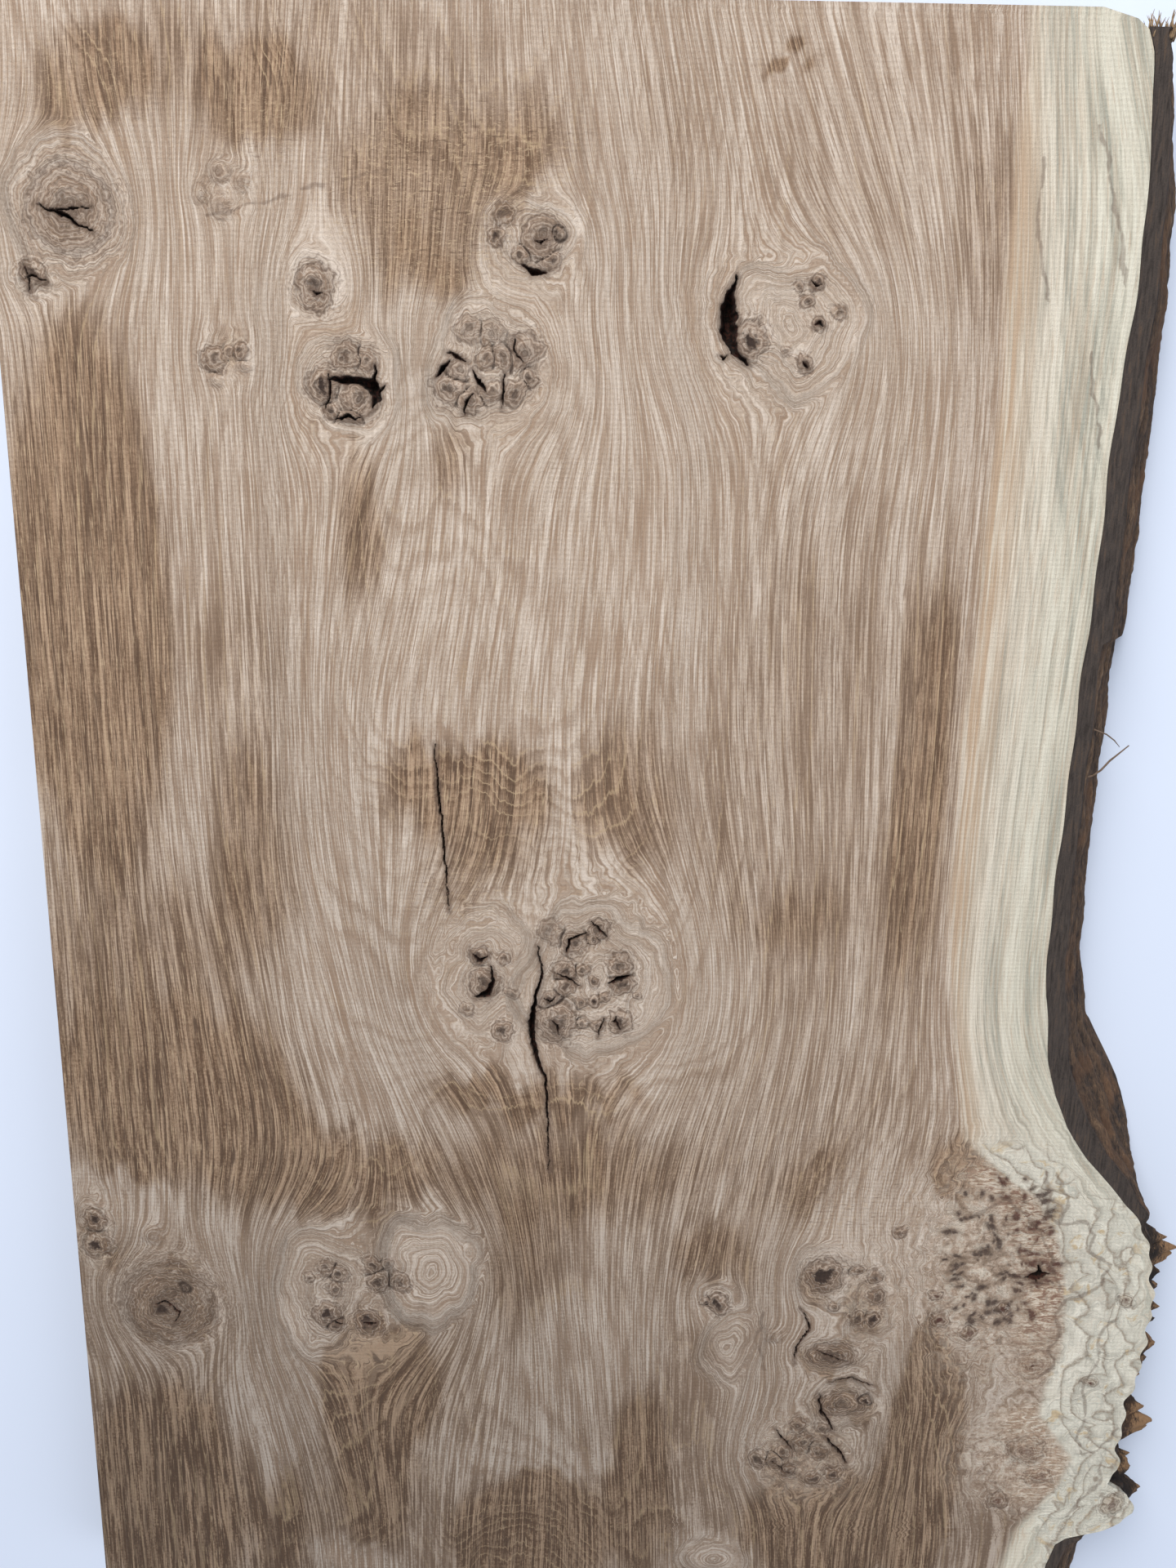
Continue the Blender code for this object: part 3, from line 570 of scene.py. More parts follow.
class Figure:
    """The wood's figure as smooth fields over the slab."""

    pith_across = 175.0
    pith_depth = 160.0
    shift_by_depth = 0.55

    def __init__(self) -> None:
        """Set out the eyes, and draw the dark flecks of the burl from a seeded stream."""
        self.eyes = np.array([(eye.across, eye.down, eye.radius, eye.dark, eye.squash) for eye in EYES])
        stream = np.random.default_rng(11)
        angle = stream.uniform(0.0, 2.0 * np.pi, FLECK_COUNT)
        reach = np.sqrt(stream.uniform(0.0, 1.0, FLECK_COUNT)) * 1.25
        lean = angle + stream.normal(0.0, 0.5, FLECK_COUNT)
        self.flecks = np.stack((
            FLECK_FIELD.across + FLECK_FIELD.reach * reach * np.cos(angle),
            FLECK_FIELD.down + FLECK_FIELD.length * reach * np.sin(angle),
            stream.uniform(0.6, 1.5, FLECK_COUNT), np.cos(lean), np.sin(lean),
            stream.uniform(1.2, 2.4, FLECK_COUNT)), axis=1)

    @staticmethod
    def halo_depths(across: Array, down: Array) -> Array:
        """How far inside each halo's outline each place lies, in millimetres.

        Args:
            across: Places across.
            down: Places down.

        Returns:
            One row for each halo: one less the place's share of the ellipse, times the
            ellipse's shorter half axis, with the places stirred by noise.
        """
        u = across + 2.8 * fractal(across / 9.0, down / 12.0, 71.0) + 3.5 * noise(across / 19.0, down / 19.0, 73.0)
        v = down + 4.0 * fractal(across / 8.0, down / 14.0, 72.0) + 4.0 * noise(across / 19.0, down / 19.0, 74.0)
        gaps = [np.hypot((u - halo.across) / halo.reach, (v - halo.down) / halo.length) for halo in HALOS]
        return np.stack([(1.0 - gap) * min(halo.reach, halo.length) for gap, halo in zip(gaps, HALOS)])

    def inside(self, across: Array, down: Array) -> Array:
        """Distance inside the nearest halo's outline, down to -10 outside."""
        return np.maximum(self.halo_depths(across, down).max(axis=0), -10.0)

    def grain(self, across: Array, down: Array) -> Array:
        """Which fibre line each place lies on, by the line's rest place across.

        The drawn lines are read at each place's row and the place is put between its two
        neighbours. Each swelling then pushes the lines apart, as x times a bell of x. Inside
        each halo the lines follow the distance from its outline, and each eye adds a bell of
        its own, so that lines close into rings round it.

        Args:
            across: Places across.
            down: Places down.

        Returns:
            Rest places, in millimetres.
        """
        rests = np.array([line.rest for line in GRAIN_LINES])
        courses = np.stack([read_smooth(GRAIN_ROWS, np.array(line.course, float), down)
                            for line in GRAIN_LINES])
        low = np.clip((courses <= across).sum(axis=0) - 1, 0, len(rests) - 2)
        picked = np.arange(len(low))
        start, end = courses[low, picked], courses[low + 1, picked]
        part = (across - start) / np.maximum(end - start, 0.5)
        value = rests[low] + np.clip(part, -1.0, 2.0) * (rests[low + 1] - rests[low])
        for knot in SWELLINGS:
            x = (across - knot.across) / knot.reach
            y = (down - knot.down) / knot.length
            value = value - 1.65 * knot.push * x * np.exp(-0.5 * (x * x + y * y))
        for halo, inside in zip(HALOS, self.halo_depths(across, down)):
            value = value + smoothstep(-1.0, 6.0, inside) * (halo.across + 1.4 * inside - value)
        for u, v, radius, _, squash in self.eyes:
            gap = ((across - u) / radius) ** 2 + ((down - v) / (radius * squash)) ** 2
            value = value + 1.5 * radius * np.exp(-0.8 * gap)
        return value

    def ring(self, grain: Array, across: Array, down: Array, depth: Array) -> Array:
        """Distance from the pith, which lies below the face, with its domes and stairs.

        A dome is a bell over a knot, and a stair is a tanh down the slab under a flat bell
        across it. Near the top end the rings of the sapwood slant.

        Args:
            grain: Fibre lines.
            across: Places across.
            down: Places down.
            depth: Depths below the face.

        Returns:
            Ring distances, in millimetres.
        """
        below = self.pith_depth - depth + 3.0 * np.sin(down / 47.0)
        value = np.hypot(grain - self.pith_across, below)
        u = across + 6.0 * fractal(across / 17.0, down / 24.0, 14.0)
        v = down + 8.0 * fractal(across / 12.0, down / 30.0, 15.0)
        for dome in RING_DOMES:
            x = (u - dome.across) / dome.reach
            y = (v - dome.down) / dome.length
            value = value + dome.push * np.exp(-0.5 * (x * x + y * y))
        for stair in STAIRS:
            x = (u - stair.across) / stair.reach
            level = (v - stair.down + stair.bow * x * x) / stair.length
            value = value + stair.rise * np.exp(-0.5 * x ** 4) * np.tanh(level)
        return value + 26.0 * smoothstep(220.0, 0.0, down) * smoothstep(335.0, 370.0, across)

    def wild(self, across: Array, down: Array) -> Array:
        """How wild the figure is, from 0 in straight grain to 1 in a burl."""
        value = np.zeros(np.shape(across))
        for knot in SWELLINGS:
            x = (across - knot.across) / (1.15 * knot.reach)
            y = (down - knot.down) / (1.15 * knot.length)
            value = np.maximum(value, knot.wild * np.exp(-0.7 * (x * x + y * y) ** 1.5))
        return value

    def tone(self, across: Array, down: Array) -> Array:
        """Sum of the brown and pale patches, with edges stirred by noise."""
        u = across + 4.0 * fractal(across / 16.0, down / 60.0, 3.0)
        v = down + 13.0 * fractal(across / 6.5, down / 70.0, 4.0)
        return self.patches(TONES, u, v) + 0.34 * smoothstep(240.0, 600.0, down)

    @staticmethod
    def patches(patches: tuple[Tone, ...], across: Array, down: Array) -> Array:
        """Sum of patches, each a bell whose rim is sharper the crisper it is."""
        value = np.zeros(np.shape(across))
        for patch in patches:
            gap = ((across - patch.across) / patch.reach) ** 2 + ((down - patch.down) / patch.length) ** 2
            value = value + patch.strength * np.exp(-gap ** patch.crisp)
        return value

    @staticmethod
    def painted_shade(across: Array, down: Array) -> Array:
        """Painted shade where the light falls off toward the burl end and the sawn edge, which also greys the heartwood
        there.
        """
        left = smoothstep(320.0, 0.0, across) * smoothstep(120.0, 420.0, down)
        return 0.30 * smoothstep(330.0, 600.0, down) + 0.14 * left

    def fleck(self, across: Array, down: Array) -> Array:
        """Distance from the nearest dark fleck, as a share of its half width, at most 3."""
        u = across + 1.3 * fractal(across / 3.4, down / 3.4, 26.0)
        v = down + 1.3 * fractal(across / 3.4, down / 3.4, 27.0)
        least = np.full(np.shape(across), 3.0)
        for middle, level, half, east, south, longer in self.flecks:
            along = (u - middle) * east + (v - level) * south
            beside = (v - level) * east - (u - middle) * south
            least = np.minimum(least, np.hypot(along / longer, beside) / half)
        return least

    def eye(self, across: Array, down: Array) -> tuple[Array, Array, Array, Array]:
        """Nearness to the nearest eye.

        Args:
            across: Places across.
            down: Places down.

        Returns:
            Distance as a share of the eye's radius, at most 3, how dark its heart is, how
            much farther away the next eye is, which is 0 on the crease between two, and the
            distance in millimetres.
        """
        u = across + 1.7 * fractal(across / 6.0, down / 6.0, 16.0, 2)
        v = down + 1.7 * fractal(across / 6.0, down / 6.0, 17.0, 2)
        least = np.full(np.shape(across), 3.0)
        second = np.full(np.shape(across), 3.0)
        dark = np.zeros(np.shape(across))
        size = np.ones(np.shape(across))
        for middle, level, radius, depth, squash in self.eyes:
            share = np.hypot(u - middle, (v - level) / squash) / (1.2 * radius)
            nearer = share < least
            dark = np.where(nearer, depth, dark)
            size = np.where(nearer, radius, size)
            second = np.where(nearer, least, np.minimum(second, share))
            least = np.where(nearer, share, least)
        return least, dark, second - least, least * size

    @staticmethod
    def course_distance(course: Course, across: Array, down: Array) -> tuple[Array, Array]:
        """Distance to the edge of a course of places and widths.

        Args:
            course: Places across and down, and the width at each.
            across: Places across.
            down: Places down.

        Returns:
            Distance to the nearest edge, below 0 inside, and the half width there.
        """
        least = np.full(np.shape(across), 1e3)
        half = np.zeros(np.shape(across))
        for first, second in zip(course[:-1], course[1:]):
            run = np.array(second[:2], float) - np.array(first[:2], float)
            part = ((across - first[0]) * run[0] + (down - first[1]) * run[1]) / (run @ run)
            part = np.clip(part, 0.0, 1.0)
            width = (first[2] + (second[2] - first[2]) * part) / 2.0
            gap = np.hypot(across - first[0] - part * run[0], down - first[1] - part * run[1]) - width
            half = np.where(gap < least, width, half)
            least = np.minimum(least, gap)
        return least, half

    def openings(self, across: Array, down: Array) -> tuple[Array, Array]:
        """Distance to the nearest void or crack and how deep the face sinks there.

        Args:
            across: Places across.
            down: Places down.

        Returns:
            Distance to the nearest edge, below 0 inside, and the depth, in millimetres.
        """
        u = across + 0.75 * fractal(across / 2.3, down / 2.3, 21.0)
        v = down + 0.75 * fractal(across / 2.3, down / 2.3, 22.0)
        least = np.full(np.shape(across), 50.0)
        depth = np.zeros(np.shape(across))
        for opening in OPENINGS:
            gap, half = self.course_distance(opening.course, u, v)
            widest = max(place[2] for place in opening.course) / 2.0
            floor = opening.depth * np.clip(half / widest, 0.3, 1.0)
            sunk = floor * smoothstep(0.12, -0.75, gap / np.maximum(half, 0.35))
            depth = np.maximum(depth, sunk)
            least = np.minimum(least, gap)
        return least, depth

    def veins(self, across: Array, down: Array) -> Array:
        """Distance to the nearest thin brown line."""
        u = across + 1.1 * noise(across / 4.0, down / 4.0, 31.0)
        v = down + 1.1 * noise(across / 4.0, down / 4.0, 32.0)
        least = np.full(np.shape(across), 50.0)
        for course in VEINS:
            least = np.minimum(least, self.course_distance(course, u, v)[0])
        return least

    @staticmethod
    def sap(across: Array, down: Array) -> Array:
        """Distance into the sapwood across the slab, below 0 in the heart."""
        wander = 3.0 * fractal(across / 14.0, down / 40.0, 41.0)
        return np.clip(across - read(SAP_EDGE, down) + wander, -60.0, 60.0)


FIGURE = Figure()


# ---- Meshes ----


def make_mesh(name: str, points: Array, faces: Array) -> bpy.types.Mesh:
    """Mesh from arrays of points in metres and quads or triangles.

    Args:
        name: Name of the mesh.
        points: Rows of three coordinates.
        faces: Rows of three or four point numbers.

    Returns:
        The mesh, with its edges worked out.
    """
    mesh = bpy.data.meshes.new(name)
    sides = faces.shape[1]
    mesh.vertices.add(len(points))
    mesh.vertices.foreach_set("co", points.astype(np.float32).ravel())
    mesh.loops.add(faces.size)
    mesh.loops.foreach_set("vertex_index", faces.astype(np.int32).ravel())
    mesh.polygons.add(len(faces))
    mesh.polygons.foreach_set("loop_start", np.arange(0, faces.size, sides, dtype=np.int32))
    mesh.update(calc_edges=True)
    return mesh


def grid_faces(rows: int, columns: int) -> Array:
    """Quads of a grid of points stored row by row."""
    row, column = np.meshgrid(np.arange(rows - 1), np.arange(columns - 1), indexing="ij")
    corner = (row * columns + column).ravel()
    return np.stack((corner, corner + 1, corner + columns + 1, corner + columns), axis=1)


def set_field(mesh: bpy.types.Mesh, name: str, values: Array) -> None:
    """Keep one number per vertex on a mesh, for its finish to read."""
    field = mesh.attributes.new(name, "FLOAT", "POINT")
    field.data.foreach_set("value", values.astype(np.float32))


def get_points(mesh: bpy.types.Mesh) -> Array:
    """Vertex places of a mesh, as rows of three."""
    flat = np.empty(len(mesh.vertices) * 3, np.float32)
    mesh.vertices.foreach_get("co", flat)
    return flat.reshape(-1, 3).astype(float)


def place(mesh: bpy.types.Mesh, name: str) -> bpy.types.Object:
    """Object at the origin that shows a mesh."""
    item = bpy.data.objects.new(name, mesh)
    bpy.context.scene.collection.objects.link(item)
    return item


# ---- Finishes ----


class Sheet:
    """Short way to lay out a material's nodes."""

    def __init__(self, name: str) -> None:
        """Start a material with an empty Principled shader."""
        self.material = bpy.data.materials.new(name)
        self.material.use_nodes = True
        self.nodes = self.material.node_tree.nodes
        self.links = self.material.node_tree.links
        self.shader = self.nodes["Principled BSDF"]

    def put(self, socket: bpy.types.NodeSocket, value: object) -> None:
        """Link a socket into an input, or set the input's value."""
        if isinstance(value, bpy.types.NodeSocket):
            self.links.new(value, socket)
        elif value is not None:
            socket.default_value = value

    def field(self, name: str) -> bpy.types.NodeSocket:
        """One of the mesh's fields."""
        node = self.nodes.new("ShaderNodeAttribute")
        node.attribute_name = name
        return node.outputs["Fac"]

    def math(self, kind: str, first: object, second: object = None,
             third: object = None, clamp: bool = False) -> bpy.types.NodeSocket:
        """One sum on numbers.

        Args:
            kind: The Math node's operation.
            first: First socket or number.
            second: Second socket or number.
            third: Third socket or number.
            clamp: Whether the result is kept from 0 to 1.

        Returns:
            The result's socket.
        """
        node = self.nodes.new("ShaderNodeMath")
        node.operation = kind
        node.use_clamp = clamp
        for socket, value in zip(node.inputs, (first, second, third)):
            self.put(socket, value)
        return node.outputs[0]

    def centred(self, value: object) -> bpy.types.NodeSocket:
        """A value of 0 to 1 less a half."""
        return self.math("SUBTRACT", value, 0.5)

    def add_scaled(self, base: object, *terms: tuple[object, float]) -> bpy.types.NodeSocket:
        """The base plus each term times its factor."""
        total = base
        for socket, factor in terms:
            total = self.math("MULTIPLY_ADD", socket, factor, total)
        return total

    def ramp(self, value: object, low: float, high: float,
             start: float = 0.0, end: float = 1.0) -> bpy.types.NodeSocket:
        """Smooth change from start to end as a value goes from low to high.

        Args:
            value: Socket that drives the change.
            low: Value at which it starts.
            high: Value at which it ends.
            start: Result at the low value.
            end: Result at the high value.

        Returns:
            The result's socket.
        """
        node = self.nodes.new("ShaderNodeMapRange")
        node.interpolation_type = "SMOOTHSTEP"
        for name, number in (("Value", value), ("From Min", low), ("From Max", high),
                             ("To Min", start), ("To Max", end)):
            self.put(node.inputs[name], number)
        return node.outputs["Result"]

    def vector(self, x: object, y: object, z: object) -> bpy.types.NodeSocket:
        """Vector from three sockets or numbers."""
        node = self.nodes.new("ShaderNodeCombineXYZ")
        for socket, value in zip(node.inputs, (x, y, z)):
            self.put(socket, value)
        return node.outputs[0]

    def stretch(self, place_socket: object, factors: Colour) -> bpy.types.NodeSocket:
        """Vector with each coordinate times its factor."""
        node = self.nodes.new("ShaderNodeVectorMath")
        node.operation = "MULTIPLY"
        self.put(node.inputs[0], place_socket)
        node.inputs[1].default_value = factors
        return node.outputs[0]

    def noise(self, place_socket: object, scale: float = 1.0, detail: float = 2.0,
              rough: float = 0.5, stir: float = 0.0) -> bpy.types.NodeSocket:
        """Noise from 0 to 1 over a vector.

        Args:
            place_socket: Vector that places the pattern.
            scale: Features a unit.
            detail: Octaves.
            rough: Strength of each octave against the last.
            stir: Distortion.

        Returns:
            The noise's socket.
        """
        node = self.nodes.new("ShaderNodeTexNoise")
        self.put(node.inputs["Vector"], place_socket)
        node.inputs["Scale"].default_value = scale
        node.inputs["Detail"].default_value = detail
        node.inputs["Roughness"].default_value = rough
        node.inputs["Distortion"].default_value = stir
        return node.outputs["Fac"]

    def blend(self, share: object, first: object, second: object,
              kind: str = "MIX") -> bpy.types.NodeSocket:
        """Mix of two colours.

        Args:
            share: How much of the second colour.
            first: First colour.
            second: Second colour.
            kind: Blend type.

        Returns:
            The mixed colour's socket.
        """
        node = self.nodes.new("ShaderNodeMix")
        node.data_type = "RGBA"
        node.blend_type = kind
        node.clamp_factor = True
        self.put(node.inputs[0], share)
        for socket, value in ((node.inputs[6], first), (node.inputs[7], second)):
            self.put(socket, value if isinstance(value, bpy.types.NodeSocket) else (*value, 1.0))
        return node.outputs[2]

    def colours(self, value: object, stops: tuple[tuple[float, Colour], ...]) -> bpy.types.NodeSocket:
        """Colour ramp through stops of (position, colour)."""
        node = self.nodes.new("ShaderNodeValToRGB")
        self.put(node.inputs[0], value)
        band = node.color_ramp
        while len(band.elements) < len(stops):
            band.elements.new(0.5)
        for element, (position, colour) in zip(band.elements, stops):
            element.position = position
            element.color = (*colour, 1.0)
        return node.outputs[0]

    def object_place(self) -> bpy.types.NodeSocket:
        """Object coordinates, in metres."""
        return self.nodes.new("ShaderNodeTexCoord").outputs["Object"]

    def bump(self, height: object, distance: float, strength: float = 1.0) -> None:
        """Give the shader a bump from a height of 0 to 1 that stands for a distance in metres."""
        node = self.nodes.new("ShaderNodeBump")
        node.inputs["Strength"].default_value = strength
        node.inputs["Distance"].default_value = distance
        self.put(node.inputs["Height"], height)
        self.links.new(node.outputs[0], self.shader.inputs["Normal"])


@dataclass(frozen=True)
class WoodFinish:
    """Rough-sawn oak: brown heart, cream sap, fine pores, burl eyes, and openings darkened by painted shade."""

    pale_light: Colour = (0.610, 0.520, 0.440)
    pale_mid: Colour = (0.485, 0.395, 0.318)
    pale_dark: Colour = (0.290, 0.215, 0.160)
    brown_light: Colour = (0.430, 0.300, 0.200)
    brown_mid: Colour = (0.300, 0.196, 0.124)
    brown_dark: Colour = (0.125, 0.072, 0.042)
    line_pale: Colour = (0.300, 0.205, 0.140)
    pore: Colour = (0.100, 0.060, 0.038)
    # Light tan: the painted glints on pore grooves, and the real flecks of the fuzzy zones.
    fleck: Colour = (0.570, 0.425, 0.275)
    ring_tan: Colour = (0.460, 0.335, 0.205)
    sap_light: Colour = (0.680, 0.615, 0.510)
    sap_mid: Colour = (0.590, 0.528, 0.430)
    sap_grey: Colour = (0.360, 0.335, 0.275)
    sap_rose: Colour = (0.455, 0.325, 0.220)
    sap_cool: Colour = (0.920, 1.0, 1.0)
    sap_white: Colour = (0.700, 0.680, 0.590)
    sap_tan: Colour = (0.500, 0.370, 0.210)
    burl_cream: Colour = (0.640, 0.560, 0.460)
    burl_pink: Colour = (0.450, 0.340, 0.260)
    burl_mid: Colour = (0.235, 0.170, 0.120)
    burl_dark: Colour = (0.125, 0.083, 0.060)
    ruffle: Colour = (0.200, 0.105, 0.072)
    fleck_brown: Colour = (0.060, 0.038, 0.030)
    eye_dark: Colour = (0.035, 0.022, 0.017)
    eye_red: Colour = (0.085, 0.034, 0.024)
    eye_brown: Colour = (0.070, 0.043, 0.030)
    eye_tint: Colour = (0.700, 0.630, 0.580)
    # Painted shade inside voids and cracks: near black on their floors, dark red-brown on their walls.
    void: Colour = (0.004, 0.0025, 0.002)
    void_wall_shade: Colour = (0.050, 0.014, 0.009)
    ring_pitch: float = 3.6

    def heart(self, s: Sheet, value: object, tone: object, early: object,
              thread: object) -> bpy.types.NodeSocket:
        """Heartwood: a pale and a brown palette, mixed by the tone with a feathered edge.

        Args:
            s: The material's sheet.
            value: Streakiness, from 0 for light to 1 for dark.
            tone: Brownness with its streaks.
            early: Share of porous spring wood.
            thread: Thin fibre lines.

        Returns:
            The colour's socket.
        """
        value = s.add_scaled(value, (early, 0.20))
        pale = s.colours(value, ((0.12, self.pale_light), (0.50, self.pale_mid), (0.98, self.pale_dark)))
        pale = s.blend(s.math("MULTIPLY", thread, 0.80), pale, self.line_pale)
        pale = s.blend(s.math("MULTIPLY", early, 0.20), pale, self.line_pale)
        brown = s.colours(value, ((0.08, self.brown_light), (0.48, self.brown_mid),
                                  (0.95, self.brown_dark)))
        brown = s.blend(s.math("MULTIPLY", thread, 0.70), brown, self.pore)
        return s.blend(s.ramp(tone, -0.06, 0.96), pale, brown)

    def make(self) -> bpy.types.Material:
        """The material, read from the fields that the slab's mesh carries."""
        s = Sheet("oak_wood_finish")
        centred = s.centred
        spot = s.stretch(s.object_place(), (1000.0, 1000.0, 1000.0))
        axes = s.nodes.new("ShaderNodeSeparateXYZ")
        s.links.new(spot, axes.inputs[0])
        down, height = axes.outputs["Y"], axes.outputs["Z"]
        wild, tone, sap_gap = s.field("wild"), s.field("tone"), s.field("sap")
        sap = s.ramp(sap_gap, -2.6, 3.4)
        eye, eye_dark, crease = s.field("eye"), s.field("eye_dark"), s.field("crease")

        swirl = s.noise(spot, 0.13, 1.6, 0.45, 0.6)
        stir = s.math("MULTIPLY", centred(swirl), s.math("MULTIPLY", wild, 34.0))
        grain = s.math("ADD", s.field("grain"), stir)
        lines = s.vector(grain, down, height)
        fine = s.noise(s.stretch(lines, (1.25, 0.022, 1.25)), 1.0, 3.0, 0.78)
        middle = s.noise(s.stretch(lines, (0.50, 0.013, 0.50)), 1.0, 2.0, 0.55)
        broad = s.noise(s.stretch(lines, (0.13, 0.007, 0.13)), 1.0, 2.0, 0.5)
        hair = s.noise(s.stretch(lines, (1.15, 0.035, 1.15)), 1.0, 1.0, 0.5)
        dashes = s.noise(s.stretch(lines, (2.3, 0.085, 2.3)), 1.0, 1.0, 0.5)
        glints = s.noise(s.stretch(lines, (2.7, 0.12, 2.7)), 1.0, 1.0, 0.5, 0.3)
        threads = s.noise(s.stretch(lines, (0.62, 0.007, 0.62)), 1.0, 2.0, 0.6)
        cloud = s.noise(spot, 0.030, 3.0, 0.55)
        rough = s.noise(spot, 0.85, 3.0, 0.7)
        thread = s.ramp(s.math("ABSOLUTE", centred(threads)), 0.012, 0.075, 1.0, 0.0)
        thread = s.math("MULTIPLY", thread, s.ramp(broad, 0.38, 0.62, 0.35, 1.0))

        ring = s.add_scaled(s.field("ring"), (centred(middle), 2.6), (centred(fine), 1.8),
                            (s.math("MULTIPLY", centred(swirl), wild), 10.0))
        phase = s.math("FRACT", s.math("DIVIDE", ring, self.ring_pitch))
        early = s.math("MULTIPLY", s.ramp(phase, 0.0, 0.10), s.ramp(phase, 0.20, 0.58, 1.0, 0.0))
        strength = s.noise(s.vector(s.math("MULTIPLY", ring, 0.14), s.math("MULTIPLY", down, 0.006), 0.0),
                           1.0, 1.0, 0.5)
        early = s.math("MULTIPLY", early, s.ramp(strength, 0.30, 0.62, 0.30, 1.0))
        inner = s.field("inside")
        early = s.math("MULTIPLY", early, s.ramp(inner, 0.0, 4.0, 1.0, 0.35))
        seam = s.ramp(s.math("ABSOLUTE", s.math("SUBTRACT", phase, 0.92)), 0.02, 0.08, 1.0, 0.0)
        seam = s.math("MULTIPLY", seam, s.ramp(strength, 0.34, 0.58))
        halo = s.noise(s.vector(s.math("MULTIPLY", ring, 0.95), s.math("MULTIPLY", down, 0.02), 7.0),
                       1.0, 2.0, 0.6)

        painted_shade = s.field("painted_shade")
        streaks = s.add_scaled(s.math("MULTIPLY", centred(fine), 1.5), (centred(middle), 0.28),
                               (centred(broad), 0.20), (centred(halo), 0.35), (centred(rough), 0.90),
                               (centred(hair), 1.35))
        streaks = s.math("MULTIPLY", streaks, s.math("MULTIPLY_ADD", painted_shade, 4.2, 1.0))
        mottle = s.noise(spot, 0.30, 4.0, 0.65, 2.2)
        flare = s.ramp(tone, -1.3, -0.35, 1.0, 0.0)
        value = s.add_scaled(0.47, (streaks, 1.0), (flare, -0.12), (centred(cloud), 0.30),
                             (s.math("MULTIPLY", centred(mottle), wild), 1.3))
        hatched = s.math("MULTIPLY", s.field("fuzz"), 1.0, clamp=True)
        plain = s.math("MULTIPLY_ADD", hatched, -0.6, 1.0)
        edge_tone = s.add_scaled(tone, (centred(middle), 0.45), (centred(broad), 0.5), (centred(fine), 0.45),
                                 (centred(cloud), 0.4), (centred(strength), 0.4))
        colour = self.heart(s, value, edge_tone, early, thread)
        scratch = s.math("MULTIPLY", s.ramp(fine, 0.53, 0.61, 0.0, 0.80), plain)
        colour = s.blend(scratch, colour, s.blend(s.ramp(tone, -0.2, 1.0), self.line_pale, self.pore))
        # Painted highlight: light tan dashes for the lit sides of pore grooves, strongest on brown wood.
        painted_glint = s.math("MULTIPLY", s.ramp(glints, 0.60, 0.72), s.ramp(tone, 0.0, 1.0, 0.15, 0.62))
        colour = s.blend(painted_glint, colour, self.fleck)
        pore_level = s.add_scaled(dashes, (early, 0.06), (centred(middle), 0.10))
        pores = s.ramp(pore_level, 0.60, 0.72)
        pore_colour = s.blend(s.ramp(tone, -0.2, 1.0), self.line_pale, self.pore)
        colour = s.blend(s.math("MULTIPLY", pores, s.ramp(tone, -1.0, 1.0, 0.60, 0.90)), colour, pore_colour)
        seam = s.math("MULTIPLY", seam, s.ramp(tone, -0.2, 1.0, 0.20, 0.62))
        colour = s.blend(s.math("MULTIPLY", seam, s.ramp(broad, 0.40, 0.60, 0.35, 1.0)), colour, self.ring_tan)
        fuzz = s.noise(s.stretch(spot, (0.22, 1.25, 1.0)), 1.0, 2.0, 0.6, 0.4)
        fuzz = s.math("MULTIPLY", s.ramp(fuzz, 0.60, 0.70), hatched)
        tufts = s.noise(s.stretch(spot, (0.45, 1.1, 1.0)), 1.0, 3.0, 0.7, 1.0)
        tufts = s.math("MULTIPLY", s.ramp(tufts, 0.54, 0.66), hatched)
        colour = s.blend(s.math("MULTIPLY", tufts, 0.55), colour, self.fleck)
        colour = s.blend(s.math("MULTIPLY", fuzz, 0.7), colour, self.pore)
        # Painted shade: darken and grey the heartwood toward the burl end and the sawn edge, less on pale flares.
        colour = s.blend(s.math("MULTIPLY", painted_shade, s.math("MULTIPLY_ADD", flare, -0.5, 1.0)), colour,
                         (0.02, 0.016, 0.014))

        sap_value = s.add_scaled(0.30, (centred(fine), 1.5), (centred(hair), 1.0), (centred(middle), 1.5),
                                 (centred(broad), 1.3), (centred(rough), 0.35), (centred(halo), 0.5),
                                 (early, 0.22))
        sapwood = s.colours(sap_value, ((0.0, self.sap_light), (0.28, self.sap_mid), (0.86, self.sap_grey)))
        sapwood = s.blend(s.ramp(grain, 362.0, 386.0, 0.0, 0.6), sapwood, self.sap_cool, "MULTIPLY")
        rose = s.math("MULTIPLY", s.ramp(s.add_scaled(middle, (centred(fine), 0.6)), 0.38, 0.60, 0.25, 1.0),
                      s.ramp(grain, 355.0, 368.0, 0.95, 0.0))
        sapwood = s.blend(rose, sapwood, self.sap_rose)
        sapwood = s.blend(s.math("MULTIPLY", thread, 0.30), sapwood, self.sap_rose)
        sapwood = s.blend(s.math("MULTIPLY", pores, 0.35), sapwood, self.sap_rose)
        lobes = s.ramp(wild, 0.06, 0.40)
        waves = s.math("ABSOLUTE", centred(s.noise(spot, 0.048, 1.0, 0.5, 0.5)))
        crinkle = s.noise(spot, 0.16, 2.0, 0.5)
        course = s.math("FRACT", s.add_scaled(s.math("MULTIPLY", sap_gap, 0.100), (waves, 4.2), (crinkle, 0.5)))
        contour = s.ramp(s.math("ABSOLUTE", centred(course)), 0.02, 0.13, 0.62, 0.0)
        contour = s.math("MULTIPLY", contour, s.ramp(rough, 0.36, 0.56, 0.30, 1.0))
        shadow = s.ramp(course, 0.50, 0.95, 0.60, 0.0)
        shadow = s.math("MULTIPLY", shadow, s.ramp(course, 0.47, 0.50))
